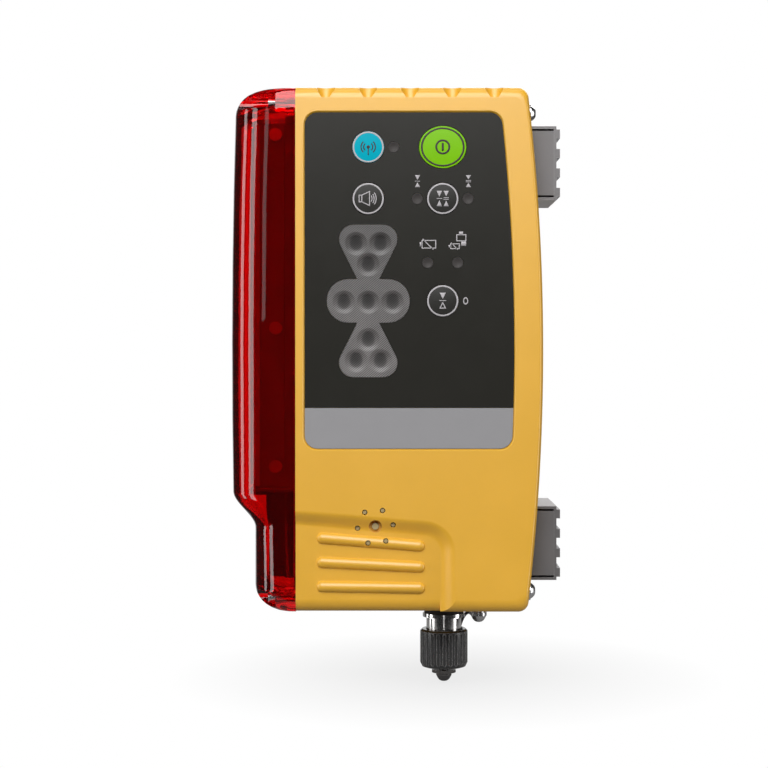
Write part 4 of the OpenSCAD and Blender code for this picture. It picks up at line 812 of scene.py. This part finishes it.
# Stage: a pale floor that keeps the shadow, soft lamps all round, white behind
studio = dict(
    floorDrop=0.6 * mm,
    floorLow=(-0.23, -0.115),
    floorHigh=(0.13, 0.26),
    floorMiddle=(-0.05, 0.02),
    floorGlow=(0.80, 1.0),
    floorFade=(0.02, 0.13),
    floorPale=(0.20, 0.24),
    floorMirrored=0.1,
    floorClouds=40.0,
    skyFront=0.02,
    skyBack=1.0,
    skyBand=(0.90, 0.995),
    skyThrough=(-0.3, 0.5),
    lamps=dict(
        keySoft=dict(place=(-0.20, -1.05, 0.76), aim=(-0.06, 0.0, 0.02), size=(1.1, 1.0), power=20.5),
        leftBack=dict(place=(-0.90, 0.20, 0.02), aim=(-0.14, 0.0, 0.0), size=(0.16, 0.75), power=1.2),
        leftStrip=dict(place=(-0.92, -0.24, 0.02), aim=(-0.13, 0.0, 0.0), size=(0.22, 0.75), power=2.2),
        leftFront=dict(place=(-0.68, -0.63, 0.25), aim=(-0.13, 0.0, 0.05), size=(0.12, 0.45), power=0.22),
        rightStrip=dict(place=(0.80, -0.20, 0.02), aim=(-0.06, 0.0, 0.0), size=(0.30, 0.75), power=3.0),
        frontStrip=dict(place=(-0.07, -0.95, -0.27), aim=(-0.055, 0.0, -0.12), size=(0.04, 0.30), power=0.10),
        overheadSoft=dict(place=(-0.06, 0.05, 0.85), aim=(-0.06, 0.0, 0.1), size=(0.7, 0.25), power=1.0),
        backSoft=dict(place=(0.25, 1.20, 0.80), aim=(-0.06, 0.0, 0.0), size=(1.0, 0.6), power=10.0),
    ),
)


def makeFloor():
    # a level sheet that glows white to the camera, a little less near the receiver, where its shadow shows
    low = cadBox[0][2] - studio["floorDrop"]
    (left, front), (right, back) = studio["floorLow"], studio["floorHigh"]
    corners = [(left, front, low), (right, front, low), (right, back, low), (left, back, low)]
    material, tree, shader = startMaterial("paleFloor", {"Roughness": 0.9})
    shade = noiseOf(tree, objectPlace(tree), studio["floorClouds"], 2.0)
    dim, bright = [(level, level, level, 1.0) for level in studio["floorPale"]]
    tree.links.new(mixColours(tree, shade, dim, bright), shader.inputs["Base Color"])
    rays = tree.nodes.new("ShaderNodeLightPath").outputs
    mirrored = mathNode(tree, "MULTIPLY", rays["Is Glossy Ray"], studio["floorMirrored"])
    seen = mathNode(tree, "MAXIMUM", rays["Is Camera Ray"], mirrored)
    seen = mathNode(tree, "MAXIMUM", seen, rays["Is Transmission Ray"])
    glow = shaderNode(tree, "ShaderNodeEmission", {"Strength": 1.0})
    middle = (*studio["floorMiddle"], low)
    reach = {0: objectPlace(tree), 1: middle}
    away = shaderNode(tree, "ShaderNodeVectorMath", reach, operation="DISTANCE").outputs["Value"]
    share = mathNode(tree, "MULTIPLY", seen, mapRange(tree, away, *studio["floorFade"], *studio["floorGlow"]))
    mixed = shaderNode(tree, "ShaderNodeMixShader", {0: share, 1: shader.outputs[0], 2: glow.outputs[0]})
    tree.links.new(mixed.outputs[0], tree.nodes["Material Output"].inputs["Surface"])
    meshObject("paleFloor", corners, [(0, 1, 2, 3)], material, smooth=False)


def makeSky():
    # white behind the receiver, dark grey in front of it; through the window the white reaches further
    # round, and to the camera it is white everywhere
    world = bpy.data.worlds.new("studioSky")
    world.use_nodes = True
    tree = world.node_tree
    direction = tree.nodes.new("ShaderNodeTexCoord").outputs["Generated"]
    depth = shaderNode(tree, "ShaderNodeSeparateXYZ", {0: direction}).outputs["Y"]
    level, wide = [mapRange(tree, depth, *studio[band], studio["skyFront"], studio["skyBack"], soft=True)
                   for band in ("skyBand", "skyThrough")]
    rays = tree.nodes.new("ShaderNodeLightPath").outputs
    level = mathNode(tree, "MAXIMUM", level, mathNode(tree, "MULTIPLY", wide, rays["Is Transmission Ray"]))
    level = mathNode(tree, "MAXIMUM", level, rays["Is Camera Ray"])
    background = tree.nodes["Background"]
    background.inputs["Color"].default_value = (1.0, 1.0, 1.0, 1.0)
    tree.links.new(level, background.inputs["Strength"])
    bpy.context.scene.world = world


def aimedLamp(name, settings):
    data = bpy.data.lights.new(name, "AREA")
    data.shape = "RECTANGLE"
    data.size, data.size_y = settings["size"]
    data.energy = settings["power"]
    lamp = bpy.data.objects.new(name, data)
    bpy.context.scene.collection.objects.link(lamp)
    lamp.location = settings["place"]
    away = np.array(settings["place"]) - np.array(settings["aim"])
    lamp.rotation_euler = Vector(away).to_track_quat("Z", "Y").to_euler()


makeFloor()
makeSky()
for lampName, lampSettings in studio["lamps"].items():
    aimedLamp(lampName, lampSettings)
print("stage and", len(studio["lamps"]), "lamps set")
